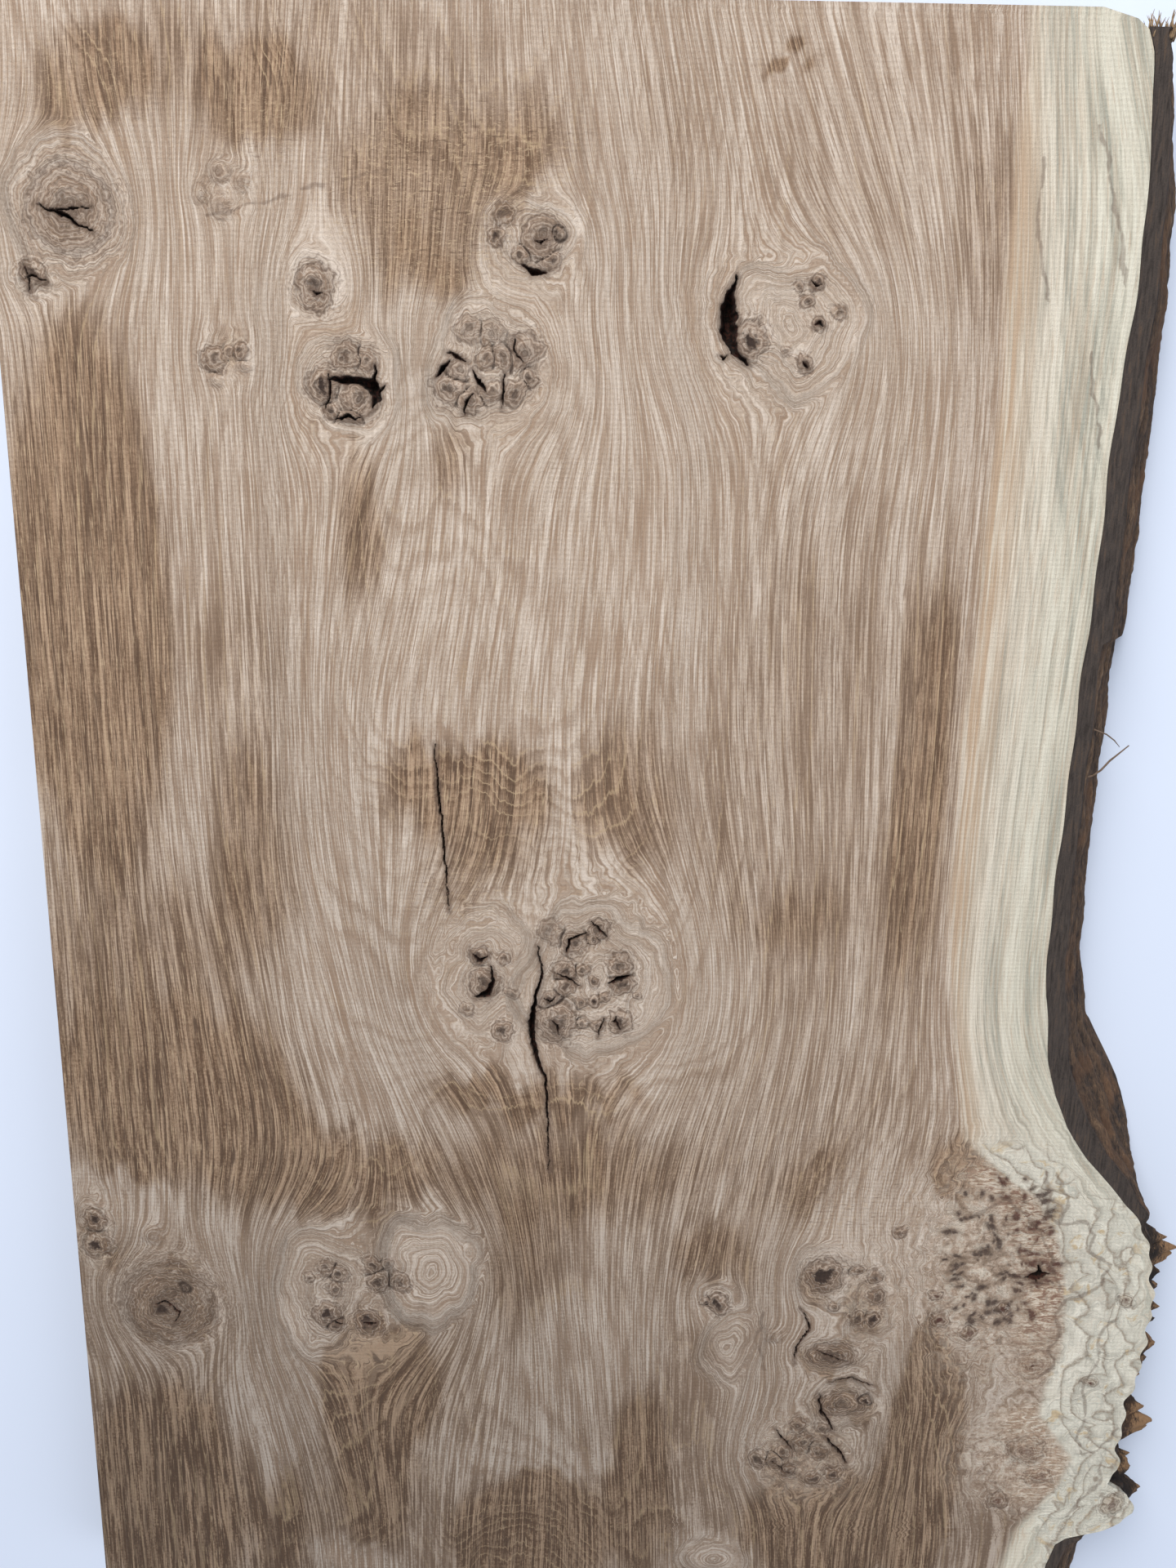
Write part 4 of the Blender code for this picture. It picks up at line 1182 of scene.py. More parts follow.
        spots = s.ramp(s.noise(spot, 0.13, 3.0, 0.6, 0.8), 0.56, 0.68)
        sapwood = s.blend(s.math("MULTIPLY", lobes, 0.45), sapwood, self.sap_white)
        sapwood = s.blend(s.math("MULTIPLY", s.math("MULTIPLY", spots, lobes), 0.80), sapwood, self.sap_tan)
        sapwood = s.blend(s.math("MULTIPLY", shadow, lobes), sapwood, self.sap_grey)
        sapwood = s.blend(s.math("MULTIPLY", contour, lobes), sapwood, self.burl_mid)
        colour = s.blend(sap, colour, sapwood)
        lit = s.math("MULTIPLY", s.ramp(s.add_scaled(inner, (centred(middle), 6.0)), -3.0, 5.0, 0.0, 0.10),
                     s.ramp(halo, 0.35, 0.60, 1.0, 0.4))
        colour = s.blend(lit, colour, self.pale_light)

        rim_side = s.ramp(s.field("grain"), 348.0, 372.0)
        loops = s.noise(spot, 0.15, 2.0, 0.5, 1.2)
        curls = s.math("FRACT", s.add_scaled(s.math("MULTIPLY", loops, 9.0), (s.math("MULTIPLY", mottle, rim_side), 5.0)))
        curls = s.ramp(s.math("ABSOLUTE", centred(curls)), 0.03, 0.20, 1.0, 0.0)
        marble = s.add_scaled(s.noise(spot, 0.12, 4.0, 0.58, 1.8), (s.math("MULTIPLY", centred(mottle), rim_side), 0.5),
                              (centred(rough), 0.15))
        marbled = s.colours(marble, ((0.40, self.burl_cream), (0.52, self.burl_pink), (0.63, self.burl_mid),
                                     (0.74, self.burl_dark)))
        in_heart = s.math("MULTIPLY", wild, s.math("SUBTRACT", 1.0, sap))
        colour = s.blend(s.math("MULTIPLY", in_heart, s.ramp(rim_side, 0.0, 1.0, 0.40, 0.90)), colour, marbled)
        colour = s.blend(s.math("MULTIPLY", curls, s.math("MULTIPLY", in_heart, 0.55)), colour, self.burl_mid)
        fringe = s.math("MULTIPLY", s.ramp(sap_gap, -24.0, -9.0), s.ramp(sap_gap, 0.0, 4.0, 1.0, 0.0))
        fringe = s.math("MULTIPLY", fringe, s.ramp(wild, 0.25, 0.60))
        ruffles = s.noise(s.stretch(spot, (0.15, 0.48, 0.2)), 1.0, 3.0, 0.6, 1.8)
        ruffled = s.math("MULTIPLY", fringe, s.ramp(down, -200.0, -165.0, 0.30, 1.0))
        colour = s.blend(s.math("MULTIPLY", fringe, 0.40), colour, self.sap_rose)
        colour = s.blend(s.math("MULTIPLY", ruffled, s.ramp(ruffles, 0.50, 0.60, 0.0, 0.85)), colour, self.ruffle)
        colour = s.blend(s.math("MULTIPLY", fringe, s.ramp(ruffles, 0.38, 0.50, 0.85, 0.0)), colour, self.burl_cream)
        fleck = s.math("MULTIPLY_ADD", centred(rough), 1.6, s.field("fleck"))
        colour = s.blend(s.ramp(fleck, 1.2, 2.4, 0.45, 0.0), colour, self.burl_mid)
        colour = s.blend(s.ramp(fleck, 0.3, 1.4, 0.92, 0.0), colour,
                         s.blend(fringe, self.fleck_brown, self.eye_red))

        ripple = centred(s.noise(spot, 0.34, 1.0, 0.5))
        ragged = centred(s.noise(spot, 0.55, 3.0, 0.6))
        near = s.math("MULTIPLY_ADD", ripple, 0.45, eye)
        mark = s.ramp(eye_dark, 0.10, 0.45, 0.30, 1.0)
        inside = s.math("MULTIPLY", s.ramp(near, 0.85, 1.15, 1.0, 0.0), mark)
        colour = s.blend(s.math("MULTIPLY", inside, 0.75), colour, self.eye_tint, "MULTIPLY")
        swirls = s.math("FRACT", s.add_scaled(s.math("MULTIPLY", s.field("eye_gap"), 0.66), (ripple, 3.2)))
        # Dark swirl lines: the eyes' ring lines, partly painted shade in the crevices between their curled ridges.
        wrinkle = s.ramp(s.math("ABSOLUTE", centred(swirls)), 0.04, 0.26, 1.0, 0.0)
        wrinkle = s.math("MULTIPLY", wrinkle, s.ramp(rough, 0.30, 0.55, 0.35, 1.0))
        around = s.math("MULTIPLY", s.ramp(near, 1.0, 2.0, 0.64, 0.0), mark)
        colour = s.blend(s.math("MULTIPLY", wrinkle, around), colour, self.burl_dark)
        # Pale lines between the swirls: painted highlight on the eyes' curled ridges, partly their pale rings.
        ridge_highlight = s.ramp(s.math("ABSOLUTE", centred(swirls)), 0.36, 0.50)
        colour = s.blend(s.math("MULTIPLY", ridge_highlight, s.math("MULTIPLY", around, 0.75)), colour, self.pale_light)
        rim = s.ramp(s.math("ABSOLUTE", s.math("SUBTRACT", near, 1.02)), 0.0, 0.24, 0.50, 0.0)
        rim = s.math("MULTIPLY", rim, s.ramp(mottle, 0.38, 0.56, 0.25, 1.0))
        colour = s.blend(s.math("MULTIPLY", rim, mark), colour, self.eye_brown)
        # Dark gaps on the creases between eye cells: partly their dark wood, partly painted shade in the grooves
        # between the mounds.
        joint = s.math("MULTIPLY", s.ramp(crease, 0.04, 0.26, 1.0, 0.0), s.ramp(near, 1.1, 1.5, 1.0, 0.0))
        colour = s.blend(s.math("MULTIPLY", joint, mark), colour, self.eye_dark)
        heart = s.math("MULTIPLY_ADD", ragged, 1.1, near)
        core = s.math("MULTIPLY", s.ramp(heart, 0.05, 0.70, 1.5, 0.0), eye_dark, clamp=True)
        colour = s.blend(core, colour, s.blend(rim_side, self.eye_dark, self.eye_red))

        vein = s.ramp(s.add_scaled(s.field("vein"), (ripple, 1.2)), 0.0, 0.8, 0.50, 0.0)
        colour = s.blend(vein, colour, self.burl_dark)
        # Painted shade: darken the wood round the rims of voids and cracks.
        edge = s.math("MULTIPLY_ADD", ragged, 0.9, s.field("void"))
        colour = s.blend(s.ramp(edge, 0.1, 2.0, 0.6, 0.0), colour, self.burl_dark)
        # Painted shade: near black inside voids and cracks, on top of their sunken geometry.
        opening_shade = s.blend(s.ramp(mottle, 0.48, 0.60), self.void, self.void_wall_shade)
        colour = s.blend(s.ramp(edge, -0.25, 0.15, 1.0, 0.0), colour, opening_shade)

        saw = s.math("ADD", self.saw_marks(s, spot, "Y"), self.saw_marks(s, spot, "X"))
        # Painted shade along the saw marks' grooves, beside their bump below.
        colour = s.blend(s.math("MULTIPLY", saw, s.math("MULTIPLY_ADD", hatched, 0.08, 0.06)), colour, self.brown_dark)
        s.put(s.shader.inputs["Base Color"], colour)
        grit = s.noise(spot, 2.4, 2.0, 0.7)
        relief = s.add_scaled(0.5, (fine, -0.8), (saw, -0.08), (grit, 0.45), (dashes, -0.4))
        s.bump(relief, 0.00060, 0.95)
        s.put(s.shader.inputs["Roughness"], s.ramp(value, 0.0, 1.0, 0.72, 0.86))
        s.shader.inputs["Specular IOR Level"].default_value = 0.25
        return s.material

    @staticmethod
    def saw_marks(s: Sheet, spot: object, direction: str) -> bpy.types.NodeSocket:
        """Fine marks of the saw's teeth, one row of waves every 1.7 mm.

        Args:
            s: The material's sheet.
            spot: Places in millimetres.
            direction: Axis that the rows follow each other along.

        Returns:
            The waves' socket, from 0 to 1.
        """
        node = s.nodes.new("ShaderNodeTexWave")
        node.bands_direction = direction
        s.put(node.inputs["Vector"], spot)
        node.inputs["Scale"].default_value = 0.185
        node.inputs["Distortion"].default_value = 1.0
        node.inputs["Detail"].default_value = 0.0
        node.inputs["Detail Scale"].default_value = 0.25
        return node.outputs["Fac"]


@dataclass(frozen=True)
class BarkFinish:
    """Oak bark: dark furrows, partly painted shade, a grey-brown cut band, tan and rust crests, and painted highlights
    on the burl's spikes.
    """

    # Near black: the cut band's darkest fibres, and painted shade in the furrows and between the burl's spikes.
    furrow: Colour = (0.012, 0.009, 0.008)
    dark: Colour = (0.045, 0.030, 0.022)
    brown: Colour = (0.115, 0.070, 0.042)
    tan: Colour = (0.30, 0.205, 0.125)
    cut: Colour = (0.060, 0.048, 0.042)
    rust: Colour = (0.165, 0.083, 0.042)
    # Orange-brown of the painted highlights on the burl's spikes.
    horn: Colour = (0.285, 0.165, 0.085)

    def make(self) -> bpy.types.Material:
        """The material, read from the crest, band and burl fields and the place."""
        s = Sheet("oak_bark_finish")
        spot = s.stretch(s.object_place(), (1000.0, 1000.0, 1000.0))
        crest, band, burl = s.field("crest"), s.field("band"), s.field("burl")
        strands = s.noise(s.stretch(spot, (1.1, 0.10, 1.1)), 1.0, 3.0, 0.6, 0.4)
        flakes = s.noise(s.stretch(spot, (0.9, 0.45, 0.9)), 1.0, 4.0, 0.65, 0.5)
        grit = s.noise(spot, 2.2, 3.0, 0.7)
        # Lower crests darken the colour toward the furrows, partly painted shade there.
        value = s.add_scaled(0.30, (s.math("SUBTRACT", crest, 0.5), 0.55),
                             (s.math("SUBTRACT", strands, 0.5), 0.8),
                             (s.math("SUBTRACT", flakes, 0.5), 0.9),
                             (s.math("SUBTRACT", grit, 0.5), 0.3))
        colour = s.colours(value, ((0.0, self.furrow), (0.25, self.dark), (0.55, self.brown),
                                   (0.95, self.tan)))
        patches = s.noise(spot, 0.06, 2.0, 0.5)
        colour = s.blend(s.math("MULTIPLY", s.ramp(patches, 0.50, 0.68), 0.35), colour, self.rust)
        cut_value = s.add_scaled(0.45, (s.math("SUBTRACT", strands, 0.5), 1.3),
                                 (s.math("SUBTRACT", grit, 0.5), 0.4))
        cut = s.colours(cut_value, ((0.0, self.furrow), (0.5, self.cut), (1.0, self.brown)))
        colour = s.blend(band, colour, cut)
        # Painted shade: near black in the hollows between the burl's spikes.
        colour = s.blend(s.math("MULTIPLY", burl, s.ramp(crest, 0.75, 0.2, 0.0, 0.75)),
                         colour, self.furrow)
        # Painted highlight: orange-brown on the crests of the burl's spikes.
        crest_highlight = s.math("MULTIPLY", s.ramp(s.add_scaled(crest, (s.math("SUBTRACT", flakes, 0.5), 1.2)),
                                           0.48, 0.80), burl)
        colour = s.blend(s.math("MULTIPLY", crest_highlight, 0.75), colour, self.horn)
        s.put(s.shader.inputs["Base Color"], colour)
        relief = s.add_scaled(0.2, (strands, 0.4), (flakes, 0.6), (grit, 0.25))
        s.bump(relief, 0.0011, 0.9)
        s.shader.inputs["Roughness"].default_value = 0.9
        s.shader.inputs["Specular IOR Level"].default_value = 0.2
        return s.material


@dataclass(frozen=True)
class FibreFinish:
    """Dry torn fibre, light brown with darker streaks."""

    light: Colour = (0.33, 0.22, 0.12)
    dark: Colour = (0.09, 0.055, 0.032)

    def make(self, name: str) -> bpy.types.Material:
        """The material under a given name, mottled along the fibres."""
        s = Sheet(name)
        spot = s.stretch(s.object_place(), (1000.0, 350.0, 1000.0))
        value = s.noise(spot, 0.8, 2.0, 0.6)
        s.put(s.shader.inputs["Base Color"],
              s.colours(value, ((0.30, self.dark), (0.68, self.light))))
        s.shader.inputs["Roughness"].default_value = 0.85
        return s.material


# ---- Pieces ----


@dataclass
class WoodSlab:
    """The wood: a box skin with fine cells near the figure, bent to the slab's shape."""

    columns: int = 70
    rows: int = 102
    levels: int = 5
    cell: float = 6.4
    open_cell: float = 3.2

    def box_skin(self) -> tuple[Array, Array]:
        """Skin of a box in shares: across 0 to 1, down in millimetres, depth 0 to 1.

        Each of the six sides is a grid of its own, and the seams are merged later.

        Returns:
            Points and quads, all quads facing outward once the box is bent to the slab.
        """
        a = np.linspace(0.0, 1.0, self.columns + 1)
        v = np.linspace(SHAPE.top, SHAPE.bottom, self.rows + 1)
        d = np.linspace(0.0, 1.0, self.levels + 1)
        sides = ((v, a, lambda p, q: (q, p, 0 * p), False),
                 (v, a, lambda p, q: (q, p, 0 * p + 1.0), True),
                 (v, d, lambda p, q: (0 * p, p, q), True),
                 (v, d, lambda p, q: (0 * p + 1.0, p, q), False),
                 (d, a, lambda p, q: (q, 0 * p + v[0], p), True),
                 (d, a, lambda p, q: (q, 0 * p + v[-1], p), False))
        points, faces, count = [], [], 0
        for first, second, lay, turned in sides:
            p, q = np.meshgrid(first, second, indexing="ij")
            points.append(np.stack([part.ravel() for part in lay(p, q)], axis=1))
            quads = grid_faces(len(first), len(second)) + count
            faces.append(quads if turned else quads[:, ::-1])
            count += p.size
        return np.concatenate(points), np.concatenate(faces)

    @staticmethod
    def wanted_cell(across: Array, down: Array) -> Array:
        """How fine the face's cells should be at each place, in millimetres."""
        size = np.full(across.shape, 3.2)
        wild = FIGURE.wild(across, down)
        size = np.where(wild > 0.05, 1.6, size)
        size = np.where(FIGURE.inside(across, down) > -2.0, 1.6, size)
        eye = np.minimum(FIGURE.eye(across, down)[0], FIGURE.fleck(across, down))
        size = np.where(eye < 1.6, 0.8, size)
        size = np.where(FIGURE.veins(across, down) < 0.8, 0.8, size)
        gap, _ = FIGURE.openings(across, down)
        size = np.where(gap < 1.6, 0.8, size)
        size = np.where(gap < 0.7, 0.4, size)
        rim = read(SHAPE.face_rim, down) - across
        size = np.where((rim < 5.0) & (down > 430.0), np.minimum(size, 0.8), size)
        return size

    def refine(self, mesh: bpy.types.Mesh) -> None:
        """Split the face's cells in four until each is as fine as its place wants.

        Args:
            mesh: Box skin in shares, changed in place.
        """
        size = self.cell
        while size > 0.5:
            count = len(mesh.polygons)
            middle = np.empty(count * 3, np.float32)
            mesh.polygons.foreach_get("center", middle)
            middle = middle.reshape(-1, 3).astype(float)
            area = np.empty(count, np.float32)
            mesh.polygons.foreach_get("area", area)
            across = middle[:, 0] * read(SHAPE.face_rim, middle[:, 1])
            on_face = middle[:, 2] < 1e-6
            on_side = (middle[:, 0] > 0.9999) & (middle[:, 1] > 430.0) & (size > 1.7)
            wanted = np.where(on_face, self.wanted_cell(across, middle[:, 1]), 99.0)
            chosen = np.flatnonzero((wanted < size * 0.75) | on_side)
            work = bmesh.new()
            work.from_mesh(mesh)
            work.faces.ensure_lookup_table()
            edges = {edge for number in chosen for edge in work.faces[number].edges}
            bmesh.ops.subdivide_edges(work, edges=sorted(edges, key=lambda edge: edge.index),
                                      cuts=1, use_grid_fill=True)
            work.to_mesh(mesh)
            work.free()
            size /= 2.0

    def bend(self, mesh: bpy.types.Mesh) -> None:
        """Bend the box skin to the slab and keep the figure's fields on it.

        Args:
            mesh: Refined box skin, changed in place.
        """
        points = get_points(mesh)
        share, down, deep = points[:, 0], points[:, 1], points[:, 2]
        depth = deep * SHAPE.thickness
        across = share * SHAPE.wood_edge(down, depth)
        on_face = deep < 1e-6
        gap, sunk = FIGURE.openings(across, down)
        eye, dark, crease, eye_gap = FIGURE.eye(across, down)
        fleck = FIGURE.fleck(across, down)
        wild = FIGURE.wild(across, down)
        inner = on_face & (share > 1e-6) & (share < 0.9999) & (down > SHAPE.top + 1e-3)
        inner = inner & (down < SHAPE.bottom - 1e-3)
        ripple = 0.10 * fractal(across / 9.0, down / 30.0, 51.0)
        dome = 0.65 * smoothstep(1.2, 0.3, eye) - 0.50 * smoothstep(0.55, 0.0, eye) * dark
        groove = 0.60 * smoothstep(0.32, 0.0, crease) * smoothstep(1.7, 1.1, eye)
        knobs = dome - groove
        rough = 0.25 * wild * fractal(across / 2.2, down / 2.2, 52.0)
        lips = 0.30 * smoothstep(2.2, 0.5, gap) * smoothstep(1.0, 4.0, sunk + 3.0 * smoothstep(3.0, 1.0, gap))
        inset = smoothstep(0.0, 4.0, SHAPE.face_edge(down) - across)
        relief = (ripple + knobs + rough + 0.6 * lips) * inset - 0.14 * inset
        height = SHAPE.thickness - depth + np.where(inner, relief - sunk * inset, 0.0)
        mesh.vertices.foreach_set("co", SHAPE.to_row(across, down, height).astype(np.float32).ravel())
        grain = FIGURE.grain(across - FIGURE.shift_by_depth * depth, down)
        set_field(mesh, "grain", grain)
        set_field(mesh, "ring", FIGURE.ring(grain, across, down, depth))
        set_field(mesh, "fuzz", FIGURE.patches(FUZZ, across, down) * on_face)
        set_field(mesh, "crease", crease)
        set_field(mesh, "inside", FIGURE.inside(across, down) - 9.0 * (1.0 - on_face))
        set_field(mesh, "painted_shade", FIGURE.painted_shade(across, down))
        set_field(mesh, "tone", FIGURE.tone(across, down))
        set_field(mesh, "sap", FIGURE.sap(across - FIGURE.shift_by_depth * depth, down))
        set_field(mesh, "wild", wild)
        away = np.where(on_face, 0.0, 1.0)
        set_field(mesh, "eye", eye + 3.0 * away)
        set_field(mesh, "eye_dark", dark)
        set_field(mesh, "eye_gap", eye_gap)
        set_field(mesh, "fleck", fleck + 3.0 * away)
        set_field(mesh, "void", gap + 9.0 * away)
        set_field(mesh, "vein", FIGURE.veins(across, down) + 9.0 * away)
        mesh.update()

    def make(self) -> bpy.types.Object:
        """Build the wood, dress it, and hide the imported solid that it stands in for."""
        points, faces = self.box_skin()
        mesh = make_mesh("wood_slab", points, faces)
        work = bmesh.new()
        work.from_mesh(mesh)
        bmesh.ops.remove_doubles(work, verts=work.verts, dist=1e-4)
        work.to_mesh(mesh)
        work.free()
        self.refine(mesh)
        self.bend(mesh)
        work = bmesh.new()
        work.from_mesh(mesh)
        bmesh.ops.recalc_face_normals(work, faces=work.faces)
        work.to_mesh(mesh)
        work.free()
        mesh.polygons.foreach_set("use_smooth", np.ones(len(mesh.polygons), bool))
        mesh.set_sharp_from_angle(angle=math.radians(50.0))
        item = place(mesh, "wood_slab")
        mesh.materials.append(WoodFinish().make())
        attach(item, "root")
        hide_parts("oak_slab")
        LOG.info("wood slab: %d vertices, %d faces", len(mesh.vertices), len(mesh.polygons))
        return item


@dataclass(frozen=True)
class Spike:
    """A horny spike of the burl's bark."""

    down: float
    level: float
    height: float
    radius: float


SPIKES = tuple(Spike(*values) for values in (
    (460.0, 0.3, 8.5, 6.5), (465.0, 0.3, 12.5, 7.0), (470.0, 0.4, 14.0, 7.5),
    (477.5, 0.3, 6.5, 4.6), (485.0, 0.3, 5.8, 4.2), (495.0, 0.3, 7.4, 5.0),
    (502.5, 0.4, 6.6, 4.2), (512.5, 0.3, 9.6, 7.5), (522.5, 0.3, 3.4, 4.0),
    (545.0, 0.3, 10.5, 7.5), (552.5, 0.3, 15.5, 8.5), (557.5, 0.4, 14.5, 7.0),
    (575.0, 0.3, 11.5, 6.5), (587.5, 0.3, 7.5, 6.5), (610.0, 0.3, 2.5, 5.0),
    (472.5, 0.8, 7.0, 7.0), (490.0, 0.6, 8.0, 7.5), (507.5, 0.8, 6.5, 6.0),
    (527.5, 0.6, 8.5, 8.0), (540.0, 0.8, 7.0, 6.5), (565.0, 0.7, 6.5, 7.0),
    (582.5, 0.8, 8.0, 7.0), (597.5, 0.6, 5.0, 6.0)))


@dataclass
class Bark:
    """The bark: a closed sleeve along the live edge, ridged outside and spiky on the burl."""

    rows: int = 730
    across_top: int = 9
    across_out: int = 58
    across_base: int = 3
    across_in: int = 6
    ridge_height: float = 2.4
    ridge_rows: float = 4.0
    ridge_break: float = 31.0

    def ridges(self, down: Array, share: Array) -> Array:
        """Long ridges along the trunk: a folded sine across, broken up along."""
        wander = 0.22 * np.sin(down / 17.0) + 0.16 * np.sin(down / 7.3 + 2.0)
        rows = np.abs(np.sin(np.pi * (self.ridge_rows * share + wander)))
        breaks = 0.72 + 0.28 * np.sin(2.0 * np.pi * (down / self.ridge_break + 0.9 * share))
        return (rows - 0.45) * breaks

    @staticmethod
    def spikes(down: Array, share: Array) -> Array:
        """Height of the spikes: the tallest of their cones at each place."""
        total = np.zeros(np.shape(down))
        for spike in SPIKES:
            along = (down - spike.down) / spike.radius
            deep = (share - spike.level) * SHAPE.thickness / spike.radius
            cone = np.clip(1.0 - np.hypot(along, deep), 0.0, 1.0) ** 1.15
            total = np.maximum(total, spike.height * cone)
        return total

    def outer(self, down: Array, share: Array) -> tuple[Array, Array]:
        """Place across of the weathered surface, and how far it stands up as a crest.

        Args:
            down: Places down.
            share: Share of the way from the top edge of the bark to the back.

        Returns:
            Places across, and crests from 0 to 1.
        """
        factor = SHAPE.slope_factor(down, share)
        base = read(SHAPE.bark_thickness, down)
        burl = np.clip(SHAPE.drop(down) / 3.0, 0.0, 1.0)
        arch = np.sin(np.pi * np.clip(share * 1.1, 0.0, 1.0)) ** 0.5
        rows = self.ridges(down, share)
        deep = share * SHAPE.thickness
        strands = fractal(down / 14.0, deep / 2.6, 61.0)
        scales = fractal(down / 4.2, deep / 1.9, 62.0)
        horn = fractal(down / 2.6, deep / 2.6, 63.0)
        inside = smoothstep(0.0, 0.12, share) * smoothstep(1.0, 0.93, share)
        fine = (0.75 * strands + 0.65 * scales) * (1.0 - burl) + 1.3 * horn * burl
        spikes = self.spikes(down, share)
        thickness = base * (1.0 - 0.55 * burl * (1.0 - np.clip(share * 5.0, 0.0, 1.0)))
        thickness = thickness + self.ridge_height * (1.0 - 0.75 * burl) * arch * rows
        thickness = np.maximum(thickness + fine * inside, 0.7)
        across = SHAPE.side(down, share) + (SHAPE.gap + thickness) * factor
        across = across + spikes * (1.0 + 0.16 * horn)
        crest = 0.5 + 0.45 * rows + 0.35 * strands + 0.3 * scales
        crest = crest * (1.0 - burl) + burl * (0.25 + 0.3 * horn + 0.06 * spikes)
        return np.minimum(across, SHAPE.width), np.clip(crest, 0.0, 1.0)

    def make(self) -> bpy.types.Object:
        """Build the bark, dress it, and hide the imported solid that it stands in for."""
        down = np.linspace(SHAPE.bark_start, SHAPE.bottom, self.rows)[:, None]
        out_share = np.linspace(0.0, 1.0, self.across_out)[None, :]
        outer, crest = self.outer(down, out_share)
        drop = SHAPE.drop(down)
        out_height = (SHAPE.thickness - drop) * (1.0 - out_share)
        inner_top = SHAPE.side(down, 0.0) + SHAPE.gap
        inner_low = SHAPE.side(down, 1.0) + SHAPE.gap
        band = np.linspace(0.0, 1.0, self.across_top + 1)[None, :-1]
        top = inner_top + (outer[:, :1] - inner_top) * band
        top_rough = 0.35 * fractal(top / 0.9, down / 11.0, 64.0) * np.sin(np.pi * band) ** 0.5
        top_height = SHAPE.thickness - drop + (top_rough - 0.35 * (band > 0.0))
        base = np.linspace(0.0, 1.0, self.across_base + 2)[None, 1:-1]
        low = outer[:, -1:] + (inner_low - outer[:, -1:]) * base
        in_share = np.linspace(1.0, 0.0, self.across_in + 1)[None, :-1]
        inner = SHAPE.side(down, in_share) + SHAPE.gap * SHAPE.slope_factor(down, in_share)
        in_height = (SHAPE.thickness - drop) * (1.0 - in_share)
        across = np.concatenate((top, outer, low, inner), axis=1)
        height = np.concatenate((top_height, out_height, 0.0 * low, in_height), axis=1)
        full_down = np.broadcast_to(down, across.shape)
        count = across.shape[1]
        rows, columns = np.meshgrid(np.arange(self.rows - 1), np.arange(count), indexing="ij")
        after = (columns + 1) % count
        quads = np.stack((rows * count + columns, (rows + 1) * count + columns,
                          (rows + 1) * count + after, rows * count + after), axis=-1).reshape(-1, 4)
        mesh = make_mesh("bark_sleeve", SHAPE.to_row(across, full_down, height).reshape(-1, 3), quads)
        crest_field = np.concatenate((0.4 + 0.0 * top, crest, 0.3 + 0.0 * low, 0.2 + 0.0 * inner), axis=1)
        band_field = np.concatenate((np.ones_like(top), smoothstep(0.05, 0.0, out_share + 0.0 * outer),
                                     0.0 * low, 0.0 * inner), axis=1)
        burl_field = np.clip(drop / 3.0, 0.0, 1.0) + 0.0 * across
        set_field(mesh, "crest", crest_field.ravel())
        set_field(mesh, "band", band_field.ravel())
        set_field(mesh, "burl", burl_field.ravel())
        work = bmesh.new()
        work.from_mesh(mesh)
        bmesh.ops.holes_fill(work, edges=work.edges, sides=0)
        bmesh.ops.recalc_face_normals(work, faces=work.faces)
        work.to_mesh(mesh)
        work.free()
        mesh.polygons.foreach_set("use_smooth", np.ones(len(mesh.polygons), bool))
        mesh.set_sharp_from_angle(angle=math.radians(60.0))
        item = place(mesh, "bark_sleeve")
        mesh.materials.append(BarkFinish().make())
        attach(item, "root")
        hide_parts("bark")
        LOG.info("bark: %d vertices, %d faces", len(mesh.vertices), len(mesh.polygons))
        return item


def tapered_strands(starts: Array, steps: Array, radii: Array, sides: int) -> tuple[Array, Array]:
    """Closed tapered tubes along given paths.

    Each ring lies square to its step, at the radius of its place, and the end rings are
    closed by a cap of their own points.

    Args:
        starts: Strand starts, one row each.
        steps: Step vectors, strands by steps by three.
        radii: Radii, strands by places.
        sides: Points round a strand.

    Returns:
        Points and quads.
    """
    paths = np.concatenate((starts[:, None, :], starts[:, None, :] + np.cumsum(steps, axis=1)), axis=1)
    strands, places, _ = paths.shape
    tangent = np.gradient(paths, axis=1)
    tangent /= np.linalg.norm(tangent, axis=2, keepdims=True)
    guide = np.where(np.abs(tangent[..., 2:3]) > 0.9, [[[1.0, 0.0, 0.0]]], [[[0.0, 0.0, 1.0]]])
    first = np.cross(tangent, guide)
    first /= np.linalg.norm(first, axis=2, keepdims=True)
    second = np.cross(tangent, first)
    turn = np.arange(sides) * 2.0 * np.pi / sides
    ring = (first[:, :, None, :] * np.cos(turn)[None, None, :, None]
            + second[:, :, None, :] * np.sin(turn)[None, None, :, None])
    points = paths[:, :, None, :] + ring * radii[:, :, None, None]
    strand, level, side = np.meshgrid(np.arange(strands), np.arange(places - 1),
                                      np.arange(sides), indexing="ij")
    base = (strand * places + level) * sides
    after = (side + 1) % sides
    quads = np.stack((base + side, base + after, base + sides + after, base + sides + side), axis=-1)
    caps = []
    for end in (0, places - 1):
        foot = (np.arange(strands) * places + end) * sides
        for low in range(sides // 2 - 1):
            high = sides - 1 - low
            cap = np.stack((foot + low, foot + low + 1, foot + high - 1, foot + high), axis=1)
            caps.append(cap if end else cap[:, ::-1])
    return points.reshape(-1, 3), np.concatenate([quads.reshape(-1, 4)] + caps)


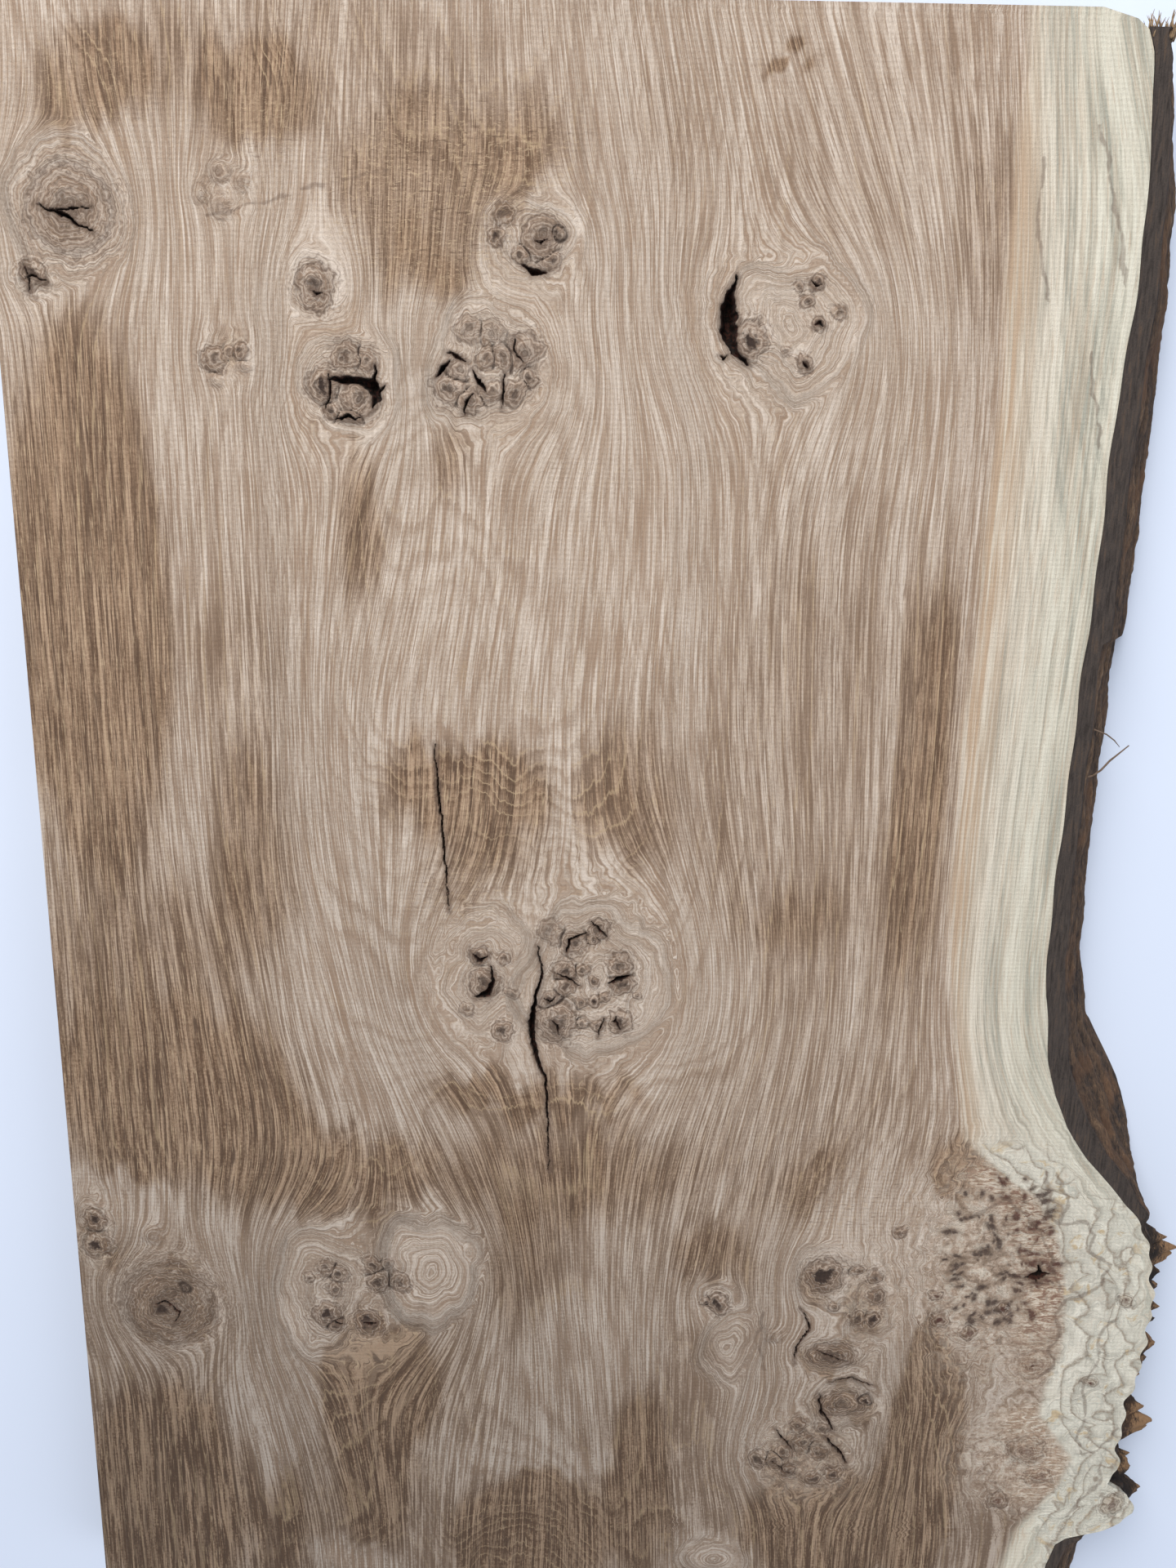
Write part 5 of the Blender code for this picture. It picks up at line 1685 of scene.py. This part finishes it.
@dataclass
class TornFibres:
    """Splinters of torn bark at the chipped corner."""

    count: int = 54
    seed: int = 5

    def make(self) -> bpy.types.Object:
        """Build the splinters, each rooted in the bark's end and leaning up out of it."""
        stream = np.random.default_rng(self.seed)
        across = stream.uniform(389.5, 398.5, self.count)
        depth = stream.uniform(0.2, 6.0, self.count) ** 1.0
        starts = SHAPE.to_row(across + 0.35 * depth, np.full(self.count, 7.0),
                              SHAPE.thickness - 0.4 - depth)
        lean = stream.normal(0.0, 0.32, self.count)
        reach = stream.uniform(3.5, 9.0, self.count)
        ahead = np.stack((lean, np.ones(self.count), stream.normal(-0.03, 0.10, self.count)), axis=1)
        steps = ahead[:, None, :] * reach[:, None, None] * MM / 4.0
        curl = stream.normal(0.0, 0.12, (self.count, 4, 1)).cumsum(axis=1) * np.array([[[1.0, 0.0, 0.3]]])
        steps = np.broadcast_to(steps, (self.count, 4, 3)) + curl * reach[:, None, None] * MM / 4.0
        thick = stream.uniform(0.25, 0.6, self.count)[:, None]
        radii = thick * np.array([[1.0, 0.95, 0.75, 0.5, 0.12]]) * MM
        points, faces = tapered_strands(starts, steps, radii, 4)
        mesh = make_mesh("torn_fibres", points, faces)
        item = place(mesh, "torn_fibres")
        mesh.materials.append(FibreFinish().make("torn_fibre_finish"))
        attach(item, "root")
        LOG.info("torn fibres: %d strands", self.count)
        return item


@dataclass
class Rootlets:
    """Two thin rootlets that stick out of the bark half way down."""

    paths: tuple[Course, ...] = (
        ((396.0, 239.5, 28.5), (400.0, 240.0, 29.0), (404.5, 241.6, 30.0),
         (407.5, 243.8, 30.5), (409.6, 246.2, 30.8)),
        ((397.0, 259.5, 28.0), (401.5, 257.8, 29.2), (404.0, 255.4, 30.0),
         (406.5, 251.6, 30.8), (412.8, 245.4, 31.4)))
    radius: float = 0.34

    def make(self) -> bpy.types.Object:
        """Build the rootlets, each a tapered tube whose foot is sunk in the bark."""
        places = np.array(self.paths)
        points = SHAPE.to_row(places[..., 0], places[..., 1], places[..., 2])
        radii = self.radius * np.array([[1.0, 0.9, 0.8, 0.7, 0.3], [1.1, 1.1, 1.2, 1.2, 0.7]]) * MM
        mesh_points, faces = tapered_strands(points[:, 0], np.diff(points, axis=1), radii, 8)
        mesh = make_mesh("rootlets", mesh_points, faces)
        mesh.polygons.foreach_set("use_smooth", np.ones(len(mesh.polygons), bool))
        item = place(mesh, "rootlets")
        mesh.materials.append(FibreFinish(light=(0.16, 0.11, 0.08)).make("rootlet_finish"))
        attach(item, "root")
        LOG.info("rootlets: %d", len(self.paths))
        return item


# ---- Setting ----


@dataclass
class Studio:
    """Plain pale floor, soft light, and the camera above the face."""

    floor_size: float = 6.0
    floor_colour: Colour = (0.62, 0.68, 0.80)
    lens: float = 27.04
    camera_across: float = 209.5
    camera_down: float = 163.8
    camera_above_face: float = 435.5
    pitch_degrees: float = 13.0
    roll_degrees: float = 1.15

    def floor(self) -> None:
        """Lay the floor under the slab."""
        half = self.floor_size / 2.0
        corners = np.array([(-half, -half, -0.0004), (half, -half, -0.0004),
                            (half, half, -0.0004), (-half, half, -0.0004)])
        mesh = make_mesh("floor", corners, np.array([[0, 1, 2, 3]]))
        item = place(mesh, "floor")
        s = Sheet("floor_finish")
        s.shader.inputs["Base Color"].default_value = (*self.floor_colour, 1.0)
        s.shader.inputs["Roughness"].default_value = 0.9
        mesh.materials.append(s.material)

    def light(self, name: str, spot: Colour, aim: Colour, size: float, power: float,
              colour: Colour) -> None:
        """Hang a square area light.

        Args:
            name: Name of the light.
            spot: Where it hangs, in metres.
            aim: Where it points.
            size: Side of the square.
            power: Watts.
            colour: Its colour.
        """
        data = bpy.data.lights.new(name, "AREA")
        data.shape = "SQUARE"
        data.size, data.energy, data.color = size, power, colour
        item = bpy.data.objects.new(name, data)
        bpy.context.scene.collection.objects.link(item)
        item.location = spot
        item.rotation_mode = "QUATERNION"
        item.rotation_quaternion = (Vector(aim) - Vector(spot)).to_track_quat("-Z", "Y")

    def lights(self) -> None:
        """A broad key light from beyond the top end, a weak fill, and a pale surround."""
        self.light("key", (-0.5, 1.35, 1.25), (0.0, 0.0, 0.0), 1.1, 40.0, (1.0, 0.985, 0.96))
        self.light("fill", (1.3, -0.6, 1.3), (0.0, 0.0, 0.0), 1.2, 8.0, (0.93, 0.96, 1.0))
        world = bpy.data.worlds.new("surround")
        bpy.context.scene.world = world
        world.use_nodes = True
        back = world.node_tree.nodes["Background"]
        back.inputs["Color"].default_value = (0.86, 0.91, 1.0, 1.0)
        back.inputs["Strength"].default_value = 0.55

    def camera(self) -> None:
        """Set the camera above the face, leaning and rolled as it was held."""
        data = bpy.data.cameras.new("camera")
        data.lens = self.lens
        data.sensor_width = 36.0
        item = bpy.data.objects.new("camera", data)
        bpy.context.scene.collection.objects.link(item)
        item.location = SHAPE.to_row(np.array(self.camera_across), np.array(self.camera_down),
                                     np.array(SHAPE.thickness + self.camera_above_face))
        lean = Matrix.Rotation(-math.radians(self.pitch_degrees), 4, "X")
        roll = Matrix.Rotation(math.radians(self.roll_degrees), 4, "Z")
        item.rotation_mode = "QUATERNION"
        item.rotation_quaternion = (lean @ roll).to_quaternion()
        data.clip_start = 0.01
        bpy.context.scene.camera = item

    def make(self) -> None:
        """Build the whole setting."""
        self.floor()
        self.lights()
        self.camera()
        bpy.context.scene.view_settings.view_transform = "Standard"


def main() -> None:
    """Build the setting, then the wood, the bark and the loose fibres."""
    Studio().make()
    WoodSlab().make()
    Bark().make()
    TornFibres().make()
    Rootlets().make()


if __name__ == "__main__":
    main()
